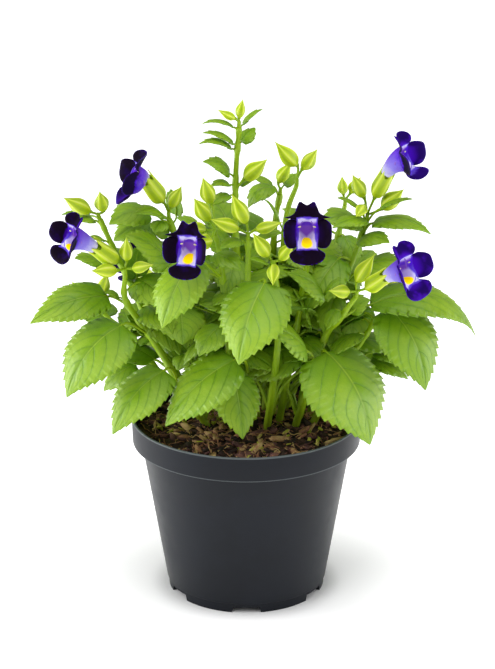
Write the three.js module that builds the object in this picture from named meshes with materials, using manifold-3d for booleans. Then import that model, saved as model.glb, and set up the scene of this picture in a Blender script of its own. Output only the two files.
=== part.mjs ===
// A potted wishbone flower in a round plastic nursery pot, at its real size.
// Millimetres, +Z up. The origin is the centre of the pot's foot, on the surface that it stands on.
// +X is to the right and -Y is to the front, the side that most of the flowers face.

import * as THREE from "three";
import { mergeVertices } from "three/addons/utils/BufferGeometryUtils.js";
import Module from "manifold-3d";

const wasm = await Module();
wasm.setup();

// Driving dimensions of the pot.
const POT_HEIGHT = 103;
const RIM_RADIUS = 65;
const LIP = 0.8; // how far the rim's top edge is rounded
const SKIRT_HEIGHT = 14.5; // the upright band under the lip
const SKIRT_RADIUS = 64.5; // at the band's lower edge
const SHOULDER_RADIUS = 59.6; // where the band steps in to the body
const FOOT_RADIUS = 44.6;
const FOOT_HEIGHT = 5.4;
const FOOT_RING = 3.2; // width of the ring that the pot stands on
const BODY_STEP = 1; // how far the body stands out over the foot
const WALL = 1.5;
const FLOOR = 2;
const POT_SIDES = 30;
const NOTCHES = 6; // drainage notches round the foot, one at the front
const NOTCH_TOP = 14.4;
const NOTCH_FOOT = 17.2;
const NOTCH_HEIGHT = 3.4;
const DRAIN_RADIUS = 3.2;
const DRAIN_CIRCLE = 33;
const DRAIN_SIDES = 6;

// The potting mix, a plug with a lumpy top.
const SOIL_TOP = 94;
const SOIL_CROWN = 2.2; // how much the middle stands above the edge
const SOIL_GAP = 0.3;
const SOIL_RINGS = [[0.82, 22], [0.55, 14], [0.25, 7]]; // radius against the edge's, and points
const HOLE_GAP = 0.4; // between a stem and the hole that it stands in

// Plant sizes.
const STEM_BASE_RADIUS = 2.1;
const STEM_TIP_RADIUS = 1.2;
const STEM_SIDES = 4; // the stems of this plant are square
const STEM_STEPS = 4;
const PETIOLE_HALF = 0.8; // half a petiole's width
const BLADE_THICKNESS = 0.9;
const PEDICEL_RADIUS = 0.9;
const JOINT_GAP = 0.3; // between a stem and its spray, and a calyx and its corolla
const CLEARANCE = 0.5; // on each side of a leaf, to what it mustn't cross
const SHORTEST_EDGE = 0.03;

const Z_AXIS = new THREE.Vector3(0, 0, 1);
const FRONT_TILT = THREE.MathUtils.degToRad(20);
// The line along which a leaf in front slides back or forward to come clear of its neighbours.
const SIGHT_LINE = new THREE.Vector3(0, Math.cos(FRONT_TILT), -Math.sin(FRONT_TILT));

// Stems, from the root end to the top: x, y, z.
const STEMS = {
  a: [[7, 15, 82], [2, 9, 140], [-5, 6, 195], [-6, 7, 235], [-4, 8, 269]],
  b: [[10, 23, 82], [14, 30, 160], [16, 30, 205], [19, 30, 224]],
  c: [[14, 16, 82], [19, 18, 160], [22, 18, 212], [28, 18, 233]],
  d: [[4, 5, 82], [1, -18, 160], [1, -26, 199], [1, -28, 216]],
  e: [[10, -2, 82], [17, -24, 150], [17, -36, 188], [14, -42, 205]],
  f: [[26, 11, 82], [44, 4, 149], [56, 5, 184], [67, 10, 215]],
  g: [[24, 1, 82], [42, -14, 150], [52, -24, 170], [60, -30, 184]],
  h: [[19, 25, 82], [42, 33, 155], [52, 40, 195], [56, 44, 213]],
  i: [[-6, 13, 82], [-26, 7, 160], [-39, 8, 204], [-43, 10, 216]],
  j: [[-5, 5, 82], [-10, -8, 150], [-14, -17, 200], [-17, -21, 217]],
  k: [[-19, 9, 82], [-56, 2, 162], [-70, 3, 192], [-81, 5, 217]],
  l: [[-15, 2, 82], [-52, -12, 152], [-66, -21, 178], [-66, -26, 196]],
  m: [[32, 7, 82], [52, -2, 128], [66, -6, 152], [72, -9, 163]],
  n: [[-9, 22, 82], [-34, 48, 128], [-50, 64, 152]],
  p: [[2, 31, 82], [-4, 56, 130], [-8, 74, 154]],
  q: [[12, 33, 82], [24, 58, 128], [38, 72, 151]],
  r: [[27, 20, 82], [62, 38, 130], [86, 50, 152]],
  s: [[-20, 17, 82], [-60, 34, 128], [-86, 46, 151]],
  u: [[16, 5, 82], [27, -4, 150], [33, -14, 196], [32, -20, 212]],
};

// Sprays of buds on the stems' tops: the hub, then each bud's foot, point and radius.
// A bud with a bloom is the calyx of that bloom, open at its end.
const SPRAYS = {
  a: { hub: [-4, 8, 272], buds: [
    { foot: [-4, 8, 274], point: [-2, 8, 285], radius: 2.6 },
    { foot: [-6, 7, 274], point: [-16, 2, 280], radius: 2.2 },
  ] },
  b: { hub: [19, 30, 227], buds: [{ foot: [18, 29, 231], point: [25, 30, 243], radius: 3.6 }] },
  c: { hub: [28, 18, 236], buds: [
    { foot: [28, 16, 245], point: [15, 8, 260], radius: 4.4 },
    { foot: [31, 18, 242], point: [40, 16, 254], radius: 3.8 },
  ] },
  d: { hub: [1, -28, 219], buds: [
    { foot: [0, -30, 226], point: [-8, -34, 243], radius: 4.4 },
    { foot: [-4, -32, 223], point: [-20, -38, 230], radius: 3.8 },
    { foot: [5, -30, 222], point: [20, -34, 227], radius: 3.2 },
  ] },
  e: { hub: [14, -42, 208], buds: [
    { foot: [12, -42, 211], point: [3, -46, 225], radius: 4 },
    { foot: [15, -47, 208], point: [14, -57, 199], radius: 3.4 },
    { foot: [18, -42, 209], point: [26, -45, 220], radius: 3.4 },
  ] },
  f: { hub: [67, 10, 218], buds: [
    { foot: [65, 8, 229], point: [58, 3, 243], radius: 3.8 },
    { foot: [71, 5, 230], point: [77, -3, 246], radius: 4.6,
      bloom: { mouth: [90, -15, 259], face: [0.87, -0.3, 0.4], lean: 0, size: 0.88 } },
    { foot: [75, 6, 223], point: [87, 1, 235], radius: 4.6 },
    { foot: [65, 1, 226], point: [60, -8, 222], radius: 3.2 },
  ] },
  g: { hub: [60, -30, 187], buds: [
    { foot: [60, -32, 193], point: [69, -36, 210], radius: 4.2 },
    { foot: [56, -34, 188], point: [44, -42, 191], radius: 3.6 },
    { foot: [65, -34, 190], point: [76, -43, 200], radius: 4.6,
      bloom: { mouth: [88, -58, 207], face: [0.66, -0.73, 0.15], lean: 16, size: 0.95 } },
  ] },
  h: { hub: [56, 45, 216], buds: [
    { foot: [55, 43, 220], point: [54, 42, 231], radius: 3 },
    { foot: [59, 45, 220], point: [65, 47, 229], radius: 3.4 },
  ] },
  i: { hub: [-43, 10, 219], buds: [
    { foot: [-46, 6, 227], point: [-56, -2, 242], radius: 5,
      bloom: { mouth: [-64, -12, 247], face: [-0.9, -0.1, 0.38], lean: 0, size: 0.88 } },
    { foot: [-42, 8, 223], point: [-36, 6, 236], radius: 3.8 },
  ] },
  j: { hub: [-17, -22, 220], buds: [
    { foot: [-19, -14, 232], point: [-24, -15, 247], radius: 4.2 },
    { foot: [-20, -22, 225], point: [-29, -28, 239], radius: 4.2 },
    { foot: [-22, -27, 221], point: [-34, -33, 226], radius: 3.4 },
    { foot: [-20, -33, 217], point: [-27, -45, 219], radius: 4.2,
      bloom: { mouth: [-31, -62, 221], face: [-0.22, -0.95, 0.2], lean: 0, size: 0.93 } },
  ] },
  k: { hub: [-82, 5, 220], buds: [
    { foot: [-86, 3, 222], point: [-101, -5, 232], radius: 4.2 },
    { foot: [-79, 4, 222], point: [-81, 2, 234], radius: 4 },
  ] },
  l: { hub: [-66, -27, 199], buds: [
    { foot: [-70, -27, 203], point: [-82, -33, 213], radius: 5,
      bloom: { mouth: [-96, -47, 223], face: [-0.66, -0.72, 0.12], lean: -18, size: 0.92 } },
    { foot: [-65, -28, 204], point: [-65, -31, 218], radius: 3.6 },
    { foot: [-70, -33, 200], point: [-84, -39, 201], radius: 3.8 },
    { foot: [-62, -30, 200], point: [-50, -34, 203], radius: 3.2 },
  ] },
  u: { hub: [32, -20, 215], buds: [
    { foot: [32, -27, 219], point: [32, -42, 226], radius: 4.4,
      bloom: { mouth: [32, -64, 231], face: [0.02, -0.97, 0.22], lean: 0, size: 1 } },
  ] },
  n: { hub: [-50, 64, 155], buds: [
    { foot: [-54, 68, 158], point: [-61, 77, 162], radius: 4.6,
      bloom: { mouth: [-66, 93, 162], face: [-0.4, 0.88, 0.15], lean: 0, size: 0.92 } },
    { foot: [-47, 67, 160], point: [-45, 75, 171], radius: 3.8 },
  ] },
  p: { hub: [-8, 74, 157], buds: [
    { foot: [-11, 77, 160], point: [-17, 87, 167], radius: 3.8 },
    { foot: [-6, 77, 161], point: [-1, 85, 171], radius: 4 },
  ] },
  q: { hub: [38, 72, 154], buds: [
    { foot: [41, 76, 155], point: [46, 88, 159], radius: 4.6,
      bloom: { mouth: [51, 104, 160], face: [0.25, 0.93, 0.1], lean: 0, size: 0.9 } },
    { foot: [34, 74, 158], point: [29, 80, 169], radius: 3.8 },
  ] },
  r: { hub: [86, 50, 155], buds: [
    { foot: [90, 51, 158], point: [100, 54, 166], radius: 4 },
    { foot: [85, 53, 159], point: [84, 60, 171], radius: 3.6 },
  ] },
  s: { hub: [-86, 46, 154], buds: [
    { foot: [-90, 46, 157], point: [-101, 46, 166], radius: 4 },
    { foot: [-84, 49, 158], point: [-80, 55, 169], radius: 3.6 },
  ] },
};

// One large bud sits in a leaf's axil, on the stem itself.
const STEM_BUDS = [{ stem: "a", height: 233, foot: [-1, 3, 241], point: [12, -2, 253], radius: 4.6 }];

// Leaves placed one by one: the stem and the height on it where the petiole leaves, the blade's base
// and tip, its width, how far its midrib arches, and how far it is rolled about the midrib in degrees.
const LEAVES = [
  ["d", 185, [10, -50, 199], [-4, -72, 160], 40, 5, 0],
  ["g", 140, [44, -28, 151], [68, -48, 104], 62, 8, -2],
  ["d", 130, [-6, -45, 153], [-44, -58, 119], 36, 6, -18],
  ["l", 156, [-68, -28, 167], [-98, -48, 132], 41, 8, -11],
  ["l", 125, [-45, -35, 143], [-73, -55, 113], 31, 6, -10],
  ["j", 190, [-29, -40, 207], [-45, -62, 177], 30, 4, 0],
  ["l", 176, [-76, -18, 180], [-118, -35, 170], 28, 6, -36],
  ["m", 160, [79, -12, 171], [99, -30, 129], 36, 9, 12],
  ["g", 168, [68, -18, 175], [128, -5, 152], 28, 11, 4],
  ["d", 120, [-7, -35, 140], [-2, -50, 108], 25, 3, 0],
  ["f", 206, [70, 8, 214], [102, 0, 210], 20, 6, 4],
  ["i", 185, [-42, -8, 196], [-66, -20, 216], 25, 4, -34],
  ["g", 140, [33, -20, 149], [11, -35, 169], 24, 3, -34],
  ["j", 165, [-36, -20, 174], [-35, -28, 155], 26, 3, 0],
  ["j", 160, [-14, -24, 165], [-26, -35, 151], 20, 3, -10],
  ["i", 200, [-53, 20, 210], [-74, 10, 203], 25, 3, -14],
  ["i", 210, [-55, 14, 219], [-76, 2, 215], 20, 4, -24],
  ["f", 206, [62, 14, 214], [42, 2, 216], 22, 4, -20],
  ["b", 221, [15, 28, 229], [1, 20, 219], 22, 4, -14],
  ["f", 160, [59, 0, 170], [59, -8, 148], 26, 3, 0],
  ["u", 150, [35, -5, 158], [26, -10, 181], 24, 2, -14],
  ["u", 178, [42, -25, 184], [22, -38, 200], 20, 3, -32],
  ["f", 180, [64, 0, 190], [86, -10, 197], 22, 3, 20],
  ["k", 175, [-61, -4, 186], [-57, -8, 208], 20, 3, 0],
  ["k", 120, [-62, -5, 135], [-80, -10, 121], 22, 3, -10],
  ["m", 140, [58, 5, 147], [87, 0, 139], 18, 4, 15],
  ["m", 130, [70, 0, 136], [91, -5, 126], 14, 3, 15],
  ["k", 150, [-51, -5, 156], [-66, -22, 170], 14, 2, 120],
  ["j", 200, [-17, -26, 207], [-3, -40, 202], 15, 3, 14],
  ["f", 198, [63, 4, 206], [79, -6, 207], 17, 3, 14],
  ["f", 208, [66, 4, 217], [47, -14, 218], 12, 3, -16],
  ["c", 205, [18, 10, 214], [10, 6, 228], 14, 2, -14],
  ["i", 212, [-39, 16, 216], [-42, 14, 232], 17, 2, 0],
  ["i", 214, [-46, 8, 218], [-61, -8, 224], 13, 4, -20],
  ["a", 258, [-3, 10, 260], [5, 14, 267], 12, 1, 10],
  ["a", 240, [-9, 6, 243], [-24, 2, 251], 12, 4, -28],
  ["j", 172, [-12, -14, 176], [-26, -20, 176], 17, 2, -24],
  ["k", 192, [-79, -8, 196], [-94, -18, 202], 14, 2, -20],
  ["k", 172, [-60, -2, 178], [-67, -10, 187], 14, 2, -20],
  ["u", 176, [43, -22, 183], [52, -26, 193], 13, 2, 10],
  ["l", 135, [-34, -12, 144], [-38, -20, 137], 12, 1, 0],
  ["f", 212, [64, 8, 221], [50, 0, 231], 9, 2, -14],
  ["i", 212, [-46, 2, 217], [-51, -4, 212], 11, 1, -10],
  ["j", 214, [-25, -14, 217], [-38, -14, 224], 11, 2, -20],
  ["g", 172, [49, -26, 175], [44, -32, 166], 10, 1, 0],
  ["l", 184, [-58, -16, 187], [-53, -22, 177], 10, 1, 0],
  ["d", 212, [5, -29, 217], [20, -35, 222], 10, 2, 14],
  ["d", 212, [-3, -29, 216], [-14, -38, 214], 10, 2, -14],
  ["b", 219, [21, 29, 230], [29, 31, 236], 11, 1, 10],
  ["b", 222, [15, 31, 229], [3, 29, 234], 9, 2, -14],
  ["k", 212, [-84, 4, 217], [-94, -2, 218], 9, 2, -14],
  ["l", 178, [-70, -14, 178], [-78, -16, 181], 8, 2, -10],
  ["e", 200, [12, -46, 208], [2, -53, 213], 8, 2, -14],
  ["a", 230, [-9, 5, 231], [-19, 0, 226], 8, 3, -20],
  ["a", 236, [-9, 5, 237], [-20, 0, 237], 7, 3, -16],
  ["a", 236, [-3, 5, 237], [5, 4, 241], 7, 1, 10],
  ["a", 256, [-8, 7, 257], [-26, 2, 261], 7, 4, -14],
  ["a", 258, [-7, 9, 259], [-24, 6, 266], 7, 3, -14],
  ["a", 267, [-2, 8, 271], [9, 10, 279], 5, 2, 10],
  ["a", 267, [-7, 8, 269], [-24, 4, 272], 5, 3, -10],
  ["k", 216, [-87, 5, 220], [-103, 0, 222], 6, 2, -10],
  ["f", 213, [74, 8, 222], [91, 2, 229], 6, 2, 10],
  ["k", 202, [-79, 2, 206], [-87, -4, 208], 7, 2, -10],
];

// Leaf pairs that a rule sets: at each height on the stem, two opposite leaves, each pair a quarter
// turn on from the last. On the stems in front, only the leaves that point to the back are kept.
const PAIRS = {
  a: { heights: [120, 150, 178, 205], turn: 10, front: true },
  b: { heights: [115, 145, 175, 200], turn: 60, front: true },
  c: { heights: [130, 160, 188], turn: 100, front: true },
  d: { heights: [150, 175], turn: 20, front: true },
  e: { heights: [125, 160], turn: 160, front: true },
  f: { heights: [125, 150, 178], turn: 80, front: true },
  g: { heights: [120, 155], turn: 30, front: true },
  h: { heights: [120, 145, 170, 196], turn: 50, front: true },
  i: { heights: [125, 150, 175, 198], turn: 110, front: true },
  j: { heights: [130, 180], turn: 140, front: true },
  k: { heights: [130, 155, 185], turn: 100, front: true },
  l: { heights: [130, 165], turn: 90, front: true },
  m: { heights: [118, 150], turn: 90, front: true },
  n: { heights: [110, 122, 134, 145], turn: 30, front: false },
  p: { heights: [110, 121, 133, 146], turn: 0, front: false },
  q: { heights: [110, 122, 134, 145], turn: 50, front: false },
  r: { heights: [122, 132, 142], turn: 35, front: false },
  s: { heights: [122, 132, 141], turn: 125, front: false },
  u: { heights: [130, 160, 190], turn: 40, front: true },
};
const PAIR_LONGEST = 50; // the lowest leaves' length
const PAIR_SHORTEST = 24; // the highest leaves' length
const PAIR_STEP = 0.7; // how much higher the second leaf of a pair springs
const PAIR_WIDTH_SHARE = 0.68;
const PAIR_ARCH_SHARE = 0.11;
const PETIOLE_SHARE = 0.3;
const FRONT_LIMIT = 0.1; // a leaf on a front stem is kept if its heading's y is over this
const DROOP_LEAST = 4; // degrees below level
const DROOP_SPREAD = 20;
const DROOP_TOP = 30; // how much higher than the lowest leaves the top ones point
const SEED = 7;

// Moves tried in turn until a leaf is clear: along the sight line, or turned and tilted at its stem.
const SLIDES = [0, -3, 3, -6, 6, -9, 9, -12, 12, -16, 16, -20, 20];
const TURNS = [
  [0, 0], [14, 0], [-14, 0], [0, 14], [0, -12], [28, 8], [-28, 8], [42, 0], [-42, 0],
  [30, -14], [-30, -14], [0, 28], [20, 24], [-20, 24], [56, 10], [-56, 10],
];

// A small repeatable random number source.
function randomSource(seed) {
  let state = seed;
  return () => {
    state = (state + 0x6d2b79f5) | 0;
    let t = Math.imul(state ^ (state >>> 15), 1 | state);
    t = (t + Math.imul(t ^ (t >>> 7), 61 | t)) ^ t;
    return ((t ^ (t >>> 14)) >>> 0) / 4294967296;
  };
}

function vector(p) {
  return new THREE.Vector3(p[0], p[1], p[2]);
}

// A closed three.js geometry as a solid, turned the right way out.
function solidOf(geometry) {
  const bare = (geometry.index ? geometry.toNonIndexed() : geometry.clone());
  for (const name of Object.keys(bare.attributes)) if (name !== "position") bare.deleteAttribute(name);
  const merged = mergeVertices(bare, 1e-4);
  const make = (triVerts) => new wasm.Manifold(
    new wasm.Mesh({ numProp: 3, vertProperties: merged.attributes.position.array, triVerts }),
  );
  const triVerts = new Uint32Array(merged.index.array);
  const made = make(triVerts);
  if (made.volume() >= 0) return made;
  for (let i = 0; i < triVerts.length; i += 3) {
    [triVerts[i + 1], triVerts[i + 2]] = [triVerts[i + 2], triVerts[i + 1]];
  }
  return make(triVerts);
}

// A solid as a named mesh. Edges too short to matter, which the joins leave, are closed up first.
function meshOf(solid, name, material) {
  const data = solid.simplify(SHORTEST_EDGE).getMesh();
  const geometry = new THREE.BufferGeometry();
  geometry.setAttribute("position", new THREE.BufferAttribute(new Float32Array(data.vertProperties), 3));
  geometry.setIndex(new THREE.BufferAttribute(new Uint32Array(data.triVerts), 1));
  geometry.computeVertexNormals();
  const mesh = new THREE.Mesh(geometry, material);
  mesh.name = name;
  return mesh;
}

function fuse(solids) {
  return solids.reduce((all, next) => all.add(next));
}

// A closed skin that is put together point by point and triangle by triangle.
class Skin {
  points = [];
  faces = [];
  add(point) {
    this.points.push(point.x, point.y, point.z);
    return this.points.length / 3 - 1;
  }
  addRow(points) {
    return points.map((point) => this.add(point));
  }
  // Triangles between two rows that run the same way. The row whose next point comes first steps on.
  // Rows may share their first or last point.
  zip(first, second, closed = false) {
    const a = closed ? [...first, first[0]] : first;
    const b = closed ? [...second, second[0]] : second;
    let i = 0;
    let j = 0;
    while (i + 1 < a.length || j + 1 < b.length) {
      const nearer = (i + 1) * (b.length - 1) <= (j + 1) * (a.length - 1);
      const stepFirst = j + 1 === b.length || (i + 1 < a.length && nearer);
      const face = stepFirst ? [a[i], a[i + 1], b[j]] : [a[i], b[j + 1], b[j]];
      if (stepFirst) i += 1;
      else j += 1;
      if (new Set(face).size === 3) this.faces.push(...face);
    }
  }
  // A fan from one point over a closed row.
  fan(row, hub) {
    row.forEach((point, i) => this.faces.push(point, row[(i + 1) % row.length], hub));
  }
  // A flat end over a closed row, from the row's middle where it has many points.
  cap(row) {
    if (row.length < 8) {
      for (let i = 1; i + 1 < row.length; i++) this.faces.push(row[i], row[i + 1], row[0]);
      return;
    }
    const middle = new THREE.Vector3();
    for (const index of row) middle.add(new THREE.Vector3().fromArray(this.points, 3 * index));
    this.fan(row, this.add(middle.divideScalar(row.length)));
  }
  solid() {
    const geometry = new THREE.BufferGeometry();
    geometry.setAttribute("position", new THREE.BufferAttribute(new Float32Array(this.points), 3));
    geometry.setIndex(this.faces);
    return solidOf(geometry);
  }
}

// A closed skin over rings of points that follow each other. A ring of one point is a tip.
function loft(rings) {
  const skin = new Skin();
  const rows = rings.map((ring) => skin.addRow(ring));
  for (let k = 0; k + 1 < rows.length; k++) {
    if (rows[k].length === 1) skin.fan([...rows[k + 1]].reverse(), rows[k][0]);
    else if (rows[k + 1].length === 1) skin.fan(rows[k], rows[k + 1][0]);
    else skin.zip(rows[k], rows[k + 1], true);
  }
  if (rows[0].length > 1) skin.cap([...rows[0]].reverse());
  if (rows.at(-1).length > 1) skin.cap(rows.at(-1));
  return skin.solid();
}

// A ring of points round a centre, square to an axis. The radius may change with the angle.
function ringAround(centre, axis, radius, sides) {
  const other = Math.abs(axis.z) < 0.8 ? Z_AXIS : new THREE.Vector3(0, 1, 0);
  const side = new THREE.Vector3().crossVectors(other, axis).normalize();
  const up = new THREE.Vector3().crossVectors(axis, side);
  return Array.from({ length: sides }, (_, i) => {
    const angle = (2 * Math.PI * i) / sides;
    const r = typeof radius === "function" ? radius(i) : radius;
    return centre.clone().addScaledVector(side, r * Math.cos(angle)).addScaledVector(up, r * Math.sin(angle));
  });
}

// A round limb from one point to another, with a radius at each end.
function limb(from, to, startRadius, endRadius, sides) {
  const axis = to.clone().sub(from).normalize();
  return loft([ringAround(from, axis, startRadius, sides), ringAround(to, axis, endRadius, sides)]);
}

// A stem: a smooth curve through its points, which thins to the top.
class Stem {
  constructor(points) {
    this.curve = new THREE.CatmullRomCurve3(points.map(vector), false, "catmullrom", 0.5);
  }
  // Where the stem passes a height.
  at(height) {
    let low = 0;
    let high = 1;
    for (let i = 0; i < 40; i++) {
      const middle = (low + high) / 2;
      if (this.curve.getPoint(middle).z < height) low = middle;
      else high = middle;
    }
    return this.curve.getPoint(low);
  }
  solid(extra) {
    const rings = [];
    for (let i = 0; i <= STEM_STEPS; i++) {
      const share = i / STEM_STEPS;
      const radius = THREE.MathUtils.lerp(STEM_BASE_RADIUS, STEM_TIP_RADIUS, share) + extra;
      const axis = this.curve.getTangent(share);
      const centre = this.curve.getPoint(share);
      if (i === 0) centre.addScaledVector(axis, -extra);
      rings.push(ringAround(centre, axis, radius, STEM_SIDES));
    }
    return loft(rings);
  }
}

// The frame of a leaf blade: along the midrib, across it, and out of its upper face.
function bladeFrame(base, tip, roll) {
  const along = tip.clone().sub(base);
  const length = along.length();
  along.normalize();
  const out = Z_AXIS.clone().addScaledVector(along, -along.z);
  if (out.length() < 0.2) out.set(0, -1, 0).addScaledVector(along, along.y);
  out.normalize().applyAxisAngle(along, THREE.MathUtils.degToRad(roll));
  const across = new THREE.Vector3().crossVectors(out, along);
  return { along, across, out, length };
}

// Half the blade's width at a share of its length, against its widest: round at the base, pointed at
// the tip.
function bladeProfile(u) {
  const widest = 0.36;
  const rise = 0.5;
  const fall = (rise * (1 - widest)) / widest;
  return Math.pow(u / widest, rise) * Math.pow((1 - u) / (1 - widest), fall);
}

const BLADE_LOBE = 0.1; // how far the margin reaches back past the base, against the length
const BLADE_DROOP = 0.22; // how far the margin hangs below the midrib, against the half width
const TOOTH_DEPTH = 0.12;
const TOOTH_LEAN = 0.45; // how far a tooth leans to the tip, in teeth

// A point of the blade: u runs from base to tip, v from one margin to the other through the midrib at 0.
function bladePoint(leaf, u, v, tooth) {
  const { base, along, across, out, length } = leaf.frame;
  const half = (leaf.width / 2) * bladeProfile(u) * (1 + tooth * TOOTH_DEPTH);
  const side = Math.abs(v);
  const lobe = BLADE_LOBE * Math.pow(side, 1.5) * Math.pow(1 - u, 4);
  const lean = (tooth * TOOTH_LEAN) / (2 * leaf.teeth + 1);
  const lift = 4 * leaf.arch * u * (1 - u) - BLADE_DROOP * side * side * half;
  return base.clone()
    .addScaledVector(along, length * (u - lobe + lean))
    .addScaledVector(across, v * half)
    .addScaledVector(out, lift);
}

// How finely a leaf is cut: its teeth on each side, and the points along its rib.
function cutOf(length) {
  if (length > 46) return { teeth: 4, ribs: 3 };
  if (length > 34) return { teeth: 3, ribs: 2 };
  if (length > 21) return { teeth: 2, ribs: 2 };
  return { teeth: 1, ribs: 1 };
}

// A leaf as one thin solid: the blade with its margin cut into teeth, and the petiole if it is asked for.
// Both faces of the blade are split alike.
function leafSolid(leaf, thickness, withPetiole) {
  const skin = new Skin();
  const { base, across, out } = leaf.frame;
  const points = [];
  const add = (point) => points.push(point) - 1;
  const side = (sign) => {
    const row = [add(base.clone().addScaledVector(across, sign * PETIOLE_HALF))];
    const steps = 2 * leaf.teeth + 1;
    for (let k = 1; k < steps; k++) row.push(add(bladePoint(leaf, k / steps, sign, k % 2)));
    return row;
  };
  const left = side(-1);
  const right = side(1);
  const rib = Array.from({ length: leaf.ribs }, (_, k) => {
    const u = (k + 1) / (leaf.ribs + 1);
    return add(bladePoint(leaf, u, 0, 0));
  });
  const tip = add(bladePoint(leaf, 1, 0, 0));
  [left, right, rib].forEach((row) => row.push(tip));
  const faces = new Skin();
  faces.zip(left, rib);
  faces.zip(rib, right);
  faces.faces.push(left[0], rib[0], right[0]);
  for (const offset of [thickness / 2, -thickness / 2])
    skin.addRow(points.map((point) => point.clone().addScaledVector(out, offset)));
  const under = (index) => index + points.length;
  for (let i = 0; i < faces.faces.length; i += 3) {
    const [a, b, c] = faces.faces.slice(i, i + 3);
    skin.faces.push(a, b, c, under(a), under(c), under(b));
  }
  const margin = [...left, ...right.slice(0, -1).reverse()];
  skin.zip(margin.map(under), margin);
  const foot = [left[0], right[0], under(right[0]), under(left[0])];
  if (!withPetiole) {
    skin.cap(foot);
    return skin.solid();
  }
  const axis = base.clone().sub(leaf.root).normalize();
  const up = out.clone().addScaledVector(axis, -axis.dot(out)).normalize();
  const wide = new THREE.Vector3().crossVectors(up, axis);
  const root = skin.addRow([[-1, 0.5], [1, 0.5], [0, -1]].map(([x, y]) => leaf.root.clone()
    .addScaledVector(wide, PETIOLE_HALF * x)
    .addScaledVector(up, PETIOLE_HALF * y)));
  skin.zip(foot, root, true);
  skin.cap(root);
  return skin.solid();
}

// A leaf, from its row or from the rule, with its frame worked out.
function makeLeaf(stem, root, base, tip, width, arch, roll) {
  const frame = bladeFrame(base, tip, roll);
  frame.base = base;
  return { stem, root, width, arch, frame, ...cutOf(frame.length) };
}

// The keeled body of a bud, or of a calyx that ends open round a bloom: shares of its length, and of
// its radius there.
const BUD_STEPS = [0.3, 0.7];
const BUD_SHAPE = [1, 0.58];
const CALYX_STEPS = [0.4, 1];
const CALYX_SHAPE = [1, 0.84];
const KEELS = 5;
const KEEL_RISE = 1.16;
const KEEL_DIP = 0.8;

// A bud or calyx on its stalk, one skin from the hub that the stalk springs from.
function budSolid(hub, bud) {
  const foot = vector(bud.foot);
  const point = vector(bud.point);
  const axis = point.clone().sub(foot).normalize();
  const lean = foot.clone().sub(hub).normalize();
  const steps = bud.bloom ? CALYX_STEPS : BUD_STEPS;
  const shape = bud.bloom ? CALYX_SHAPE : BUD_SHAPE;
  const keel = (i) => (i % 2 ? KEEL_DIP : KEEL_RISE);
  const rings = steps.map((share, k) => ringAround(
    foot.clone().lerp(point, share), axis, (i) => bud.radius * shape[k] * keel(i), 2 * KEELS,
  ));
  const stalk = [ringAround(hub, lean, PEDICEL_RADIUS, 3), ringAround(foot, axis, PEDICEL_RADIUS, 3)];
  return loft(bud.bloom ? [...stalk, ...rings] : [...stalk, ...rings, [point]]);
}

// A spray: a short stalk on the stem's top, and the buds on their thin stalks.
function spraySolid(spray, stem) {
  const hub = vector(spray.hub);
  const axis = stem.curve.getTangent(1);
  const start = stem.curve.getPoint(1).addScaledVector(axis, JOINT_GAP);
  const end = hub.clone().addScaledVector(axis, PEDICEL_RADIUS);
  const stub = loft([start, end].map((centre) => ringAround(centre, axis, STEM_TIP_RADIUS, STEM_SIDES)));
  return fuse([stub, ...spray.buds.map((bud) => budSolid(hub, bud))]);
}

// The bloom is one funnel from the calyx to an oval mouth, whose edge spreads in four lobes. Its sizes
// are seen from the front: across, and up.
const MOUTH = [5.9, 8.4]; // half the mouth's width and height
const MOUTH_ROUNDING = 0.8; // 1 gives an oval mouth, and less a squarer one
const CORNER = 46; // degrees from level to the corners between the lobes, on the mouth's oval
const TUBE_RADIUS = 4.1;
const TUBE_SWELL = 0.8; // the tube's size halfway, against the mouth's
const THROAT_DEPTH = 11;
const THROAT_SHARE = 0.3; // the throat's size at its end, against the mouth's
const MOUTH_THICKNESS = 0.8;
const LOBE_ROWS = [0.55, 1];
const LOBE_CUP = 1.6; // how much of a lobe's way to the front it makes near the mouth
const SIDE_LOBE = [[6.6, -7.6, 2.5], [11, -6.4, 7.2], [12.6, 0, 9.2], [12, 6.2, 8.4], [8.2, 7.8, 3.6]];
const LIP_HALF = [[9, 8, 5], [12.4, 8.8, 7], [7, 10.2, 2.6], [4, 16.6, 1]];
const LOWER_HALF = [[6.4, -15, 7.6], [9.2, -10.4, 5.6], [6.2, -8.2, 2]];
const mirrored = (points) => points.map(([x, y, depth]) => [-x, y, depth]).reverse();
// Each lobe's outer edge from corner to corner: across, up and forward. The steeper a lobe comes
// forward, the thicker it is measured along the flower's axis.
const LOBES = [
  { edge: SIDE_LOBE, thickness: 1.25 },
  { edge: [...LIP_HALF, [0, 14.8, 1], ...mirrored(LIP_HALF)], thickness: 0.95 },
  { edge: mirrored(SIDE_LOBE), thickness: 1.25 },
  { edge: [...mirrored(LOWER_HALF), [0, -16.2, 8], ...LOWER_HALF], thickness: 1.15 },
];

// A bloom's own frame: across, up and out of its face.
function bloomFrame(bloom) {
  const out = vector(bloom.face).normalize();
  const up = Z_AXIS.clone().addScaledVector(out, -out.z).normalize();
  up.applyAxisAngle(out, THREE.MathUtils.degToRad(bloom.lean));
  const across = new THREE.Vector3().crossVectors(up, out);
  return { across, up, out, centre: vector(bloom.mouth), size: bloom.size };
}

// A point in front view, moved out by some depth.
function bloomPoint(frame, [across, up], depth) {
  return frame.centre.clone()
    .addScaledVector(frame.across, across * frame.size)
    .addScaledVector(frame.up, up * frame.size)
    .addScaledVector(frame.out, depth * frame.size);
}

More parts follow.
